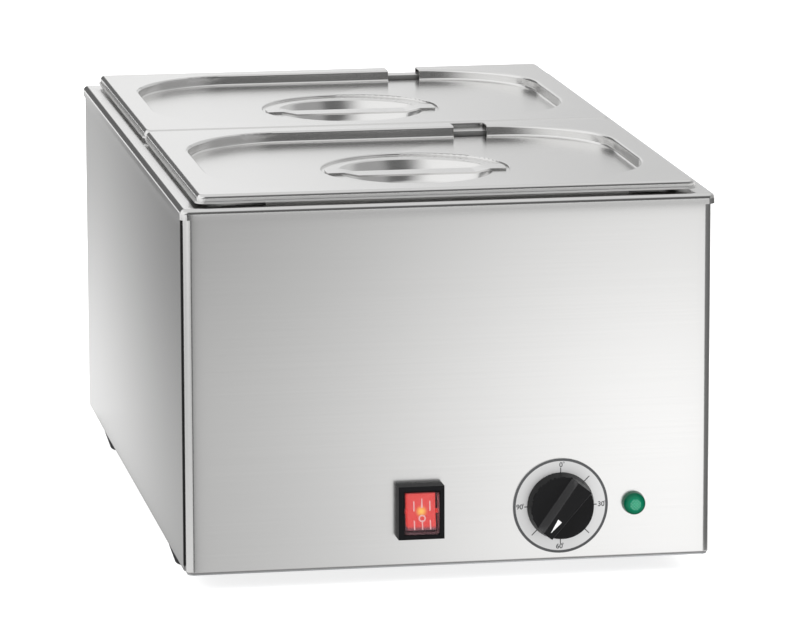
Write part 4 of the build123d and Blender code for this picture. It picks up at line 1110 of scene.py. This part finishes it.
@dataclass(frozen=True)
class SoftBox:
    """A square soft light that doesn't show in the metal."""

    name: str
    place: Point
    size: float
    power: float

    def build(self, target: Point) -> None:
        """Hang the light.

        Args:
            target: The point it faces.
        """
        data = bpy.data.lights.new(self.name, "AREA")
        data.size = self.size
        data.energy = self.power
        lamp = new_object(self.name, data)
        lamp.location = self.place
        aim = Vector(target) - Vector(self.place)
        lamp.rotation_euler = aim.to_track_quat("-Z", "Y").to_euler()
        lamp.visible_glossy = False


@dataclass
class Studio:
    """Floor, light and camera."""

    target: Point = (13.83 * MM, -0.1 * MM, 125.93 * MM)
    azimuth: float = math.radians(-9.797)
    elevation: float = math.radians(10.957)
    roll: float = math.radians(-0.139)
    distance: float = 3.7315
    lens: float = 243.82
    sensor_width: float = 36.0
    clip_end: float = 100.0
    floor_half: float = 12.0
    floor_albedo: float = 0.85
    floor_glow: float = 0.74
    # Painted shadow under the body in the mirrored floor: its half size, edge and levels.
    body_half: Place = (0.172, 0.269)
    under_reach: Span = (1.0, 1.2)
    painted_shadow_sheen: Span = (0.3, 1.0)
    front_sky: float = 0.16
    back_sky: float = 0.85
    back_span: Span = (-0.3, 0.5)
    left_sky: float = 1.3
    left_span: Span = (-0.35, -1.1)
    right_sky: float = 0.5
    right_span: Span = (0.3, 0.7)
    zenith_sky: float = 1.0
    zenith_span: Span = (0.6, 0.88)
    pools: tuple[DarkPool, ...] = (
        DarkPool((1.3, 0.0, 0.0), reach=1.05, darkness=0.8),
        DarkPool((-0.35, -1.35, 0.0), reach=1.1, darkness=0.5),
        DarkPool((-0.45, 1.35, 0.0), reach=1.0, darkness=0.8),
        DarkPool((-1.0, -0.1, 0.0), reach=1.3, darkness=0.4),
        DarkPool((0.25, -1.6, 0.0), reach=0.9, darkness=0.85),
    )
    lamps: tuple[SoftBox, ...] = (
        SoftBox("key", (-1.3, -2.0, 1.9), size=1.6, power=34.0),
        SoftBox("fill", (1.6, -1.9, 1.3), size=1.4, power=22.0),
        SoftBox("top", (0.2, 0.4, 2.6), size=1.8, power=26.0),
    )
    cards: tuple[Card, ...] = (
        Card(
            "front_card", (-0.161, -0.31, 0.0), (0.18, -0.31, 0.2355),
            along_range=(-0.2, 0.19), along_light=(0.605, 1.25), up_range=(0.08, 0.29), up_light=(1.0, 0.75),
        ),
        Card(
            "rim_card", (-0.161, -0.309, 0.2355), (0.18, -0.309, 0.2425),
            along_range=(-0.2, 0.19), along_light=(0.5, 0.64),
        ),
        Card(
            "left_bend_card", (-0.176, -0.31, 0.0), (-0.161, -0.31, 0.246),
            along_range=(-0.2, 0.0), along_light=(0.12, 0.12),
        ),
        Card(
            "right_bend_card", (0.195, -0.335, 0.0), (0.235, -0.24, 0.246),
            along_range=(0.19, 0.24), along_light=(0.24, 0.12),
        ),
        Card(
            "left_card", (-0.18, -0.25, 0.0), (-0.18, 0.37, 0.2355),
            along_range=(-0.33, 0.42), along_light=(0.4, 0.86), up_range=(0.0, 0.26), up_light=(1.12, 0.62),
        ),
        Card(
            "back_card", (-0.08, 1.3, 0.2), (1.5, 1.3, 1.2),
            along_range=(0.0, 0.5), along_light=(0.945, 0.66),
        ),
        Card(
            "back_left_card", (-1.3, 1.3, 0.2), (-0.08, 1.3, 0.9),
            along_range=(-0.16, -0.08), along_light=(0.14, 0.9),
        ),
    )

    def camera(self) -> None:
        """Set the camera where the photograph's was."""
        level = math.cos(self.elevation)
        across, along = math.sin(self.azimuth) * level, -math.cos(self.azimuth) * level
        back = Vector((across, along, math.sin(self.elevation)))
        right = (-back).cross(Vector((0, 0, 1))).normalized()
        up = right.cross(-back)
        turned_right = math.cos(self.roll) * right + math.sin(self.roll) * up
        turned_up = -math.sin(self.roll) * right + math.cos(self.roll) * up
        data = bpy.data.cameras.new("camera")
        data.lens = self.lens
        data.sensor_width = self.sensor_width
        data.clip_end = self.clip_end
        camera = new_object("camera", data)
        turn = Matrix((turned_right, turned_up, back)).transposed().to_4x4()
        camera.matrix_world = Matrix.Translation(Vector(self.target) + back * self.distance) @ turn
        bpy.context.scene.camera = camera

    def floor(self) -> None:
        """A pale floor that keeps the shadow and shows white to the camera; in the metal it shows a sheen, with a
        painted shadow under the body.
        """
        half = self.floor_half
        corners = [(-half, -half, 0), (half, -half, 0), (half, half, 0), (-half, half, 0)]
        mesh = mesh_of("floor", corners, [(0, 1, 2, 3)])
        floor = new_object("floor", mesh)
        material = bpy.data.materials.new("floor_white")
        board = bare_board(material)
        albedo = (self.floor_albedo,) * 3 + (1.0,)
        matt = board.add("ShaderNodeBsdfDiffuse", {"Color": albedo})
        rays = board.add("ShaderNodeLightPath").outputs
        seen = board.math("MULTIPLY", rays["Is Camera Ray"], self.floor_glow)
        mirrored = board.math("MAXIMUM", rays["Is Glossy Ray"], rays["Is Transmission Ray"])
        sheen = board.math("MULTIPLY", mirrored, self.mirror_sheen(board))
        glow = board.add("ShaderNodeEmission", {"Strength": board.math("ADD", seen, sheen)})
        unlit = board.add("ShaderNodeMixShader", {0: mirrored, 1: matt.outputs[0]})
        both = board.add("ShaderNodeAddShader", {0: unlit.outputs[0], 1: glow.outputs[0]})
        board.add("ShaderNodeOutputMaterial", {0: both.outputs[0]})
        mesh.materials.append(material)

    def mirror_sheen(self, board: NodeBoard) -> bpy.types.NodeSocket:
        """How bright the floor shows in the metal, by place, with a painted shadow under the body.

        Args:
            board: The floor material's board.

        Returns:
            The brightness socket.
        """
        place = board.add("ShaderNodeTexCoord").outputs["Object"]
        axes = board.add("ShaderNodeSeparateXYZ", {0: place}).outputs
        # Painted shadow: the mirrored floor is darker under the body, where its shadow would fall.
        across = board.math("DIVIDE", board.math("ABSOLUTE", axes["X"]), self.body_half[0])
        along = board.math("DIVIDE", board.math("ABSOLUTE", axes["Y"]), self.body_half[1])
        under = board.math("MAXIMUM", across, along)
        level = board.ramp(under, *self.under_reach, *self.painted_shadow_sheen)
        for pool in self.pools:
            away = board.add("ShaderNodeVectorMath", {0: place, 1: pool.middle}, operation="DISTANCE")
            light = board.ramp(away.outputs["Value"], 0.0, pool.reach, 1.0 - pool.darkness, 1.0)
            level = board.math("MULTIPLY", level, light)
        return level

    def sky(self) -> None:
        """A studio that is bright behind, on the left and above, dim in front, and white to the camera."""
        world = bpy.data.worlds.new("studio")
        bpy.context.scene.world = world
        board = bare_board(world)
        heading = board.add("ShaderNodeTexCoord").outputs["Generated"]
        axes = board.add("ShaderNodeSeparateXYZ", {0: heading}).outputs
        around = board.ramp(axes["Y"], *self.back_span, self.front_sky, self.back_sky)
        raised = board.math("MAXIMUM", axes["Z"], 0.0)
        leftward = board.math("SUBTRACT", axes["X"], raised)
        left = board.ramp(leftward, *self.left_span, 0.0, self.left_sky)
        right = board.ramp(axes["X"], *self.right_span, 0.0, self.right_sky)
        level = board.math("MAXIMUM", around, board.math("MAXIMUM", left, right))
        high = board.ramp(axes["Z"], *self.zenith_span, 0.0, 1.0)
        mixed = board.add("ShaderNodeMix", {0: high, 2: level, 3: self.zenith_sky}).outputs[0]
        rays = board.add("ShaderNodeLightPath").outputs
        strength = board.math("MAXIMUM", mixed, rays["Is Camera Ray"])
        glow = board.add("ShaderNodeBackground", {"Strength": strength})
        board.add("ShaderNodeOutputWorld", {0: glow.outputs[0]})

    def build(self) -> None:
        """Set up the whole studio."""
        self.camera()
        self.floor()
        self.sky()
        for lamp in self.lamps:
            lamp.build(self.target)
        for card in self.cards:
            card.build()
        bpy.context.scene.view_settings.view_transform = "Standard"


def main() -> None:
    """Dress the solids, add the printed and small pieces, and light them."""
    logging.basicConfig(level=logging.INFO, format="%(name)s: %(message)s")
    materials = {slot: finish.material() for slot, finish in FINISHES.items()}
    SteelShell().dress(materials)
    SeamShadowStrips().build(SEAM_SHADE.material())
    DialPrint().build(DIAL_INK.material())
    KnobPointer().build(POINTER_INK.material())
    RockerMarks().build(MARK_INK.material())
    LampFacets().build(GLINT_PAINT.material())
    Studio().build()


if __name__ == "__main__":
    main()
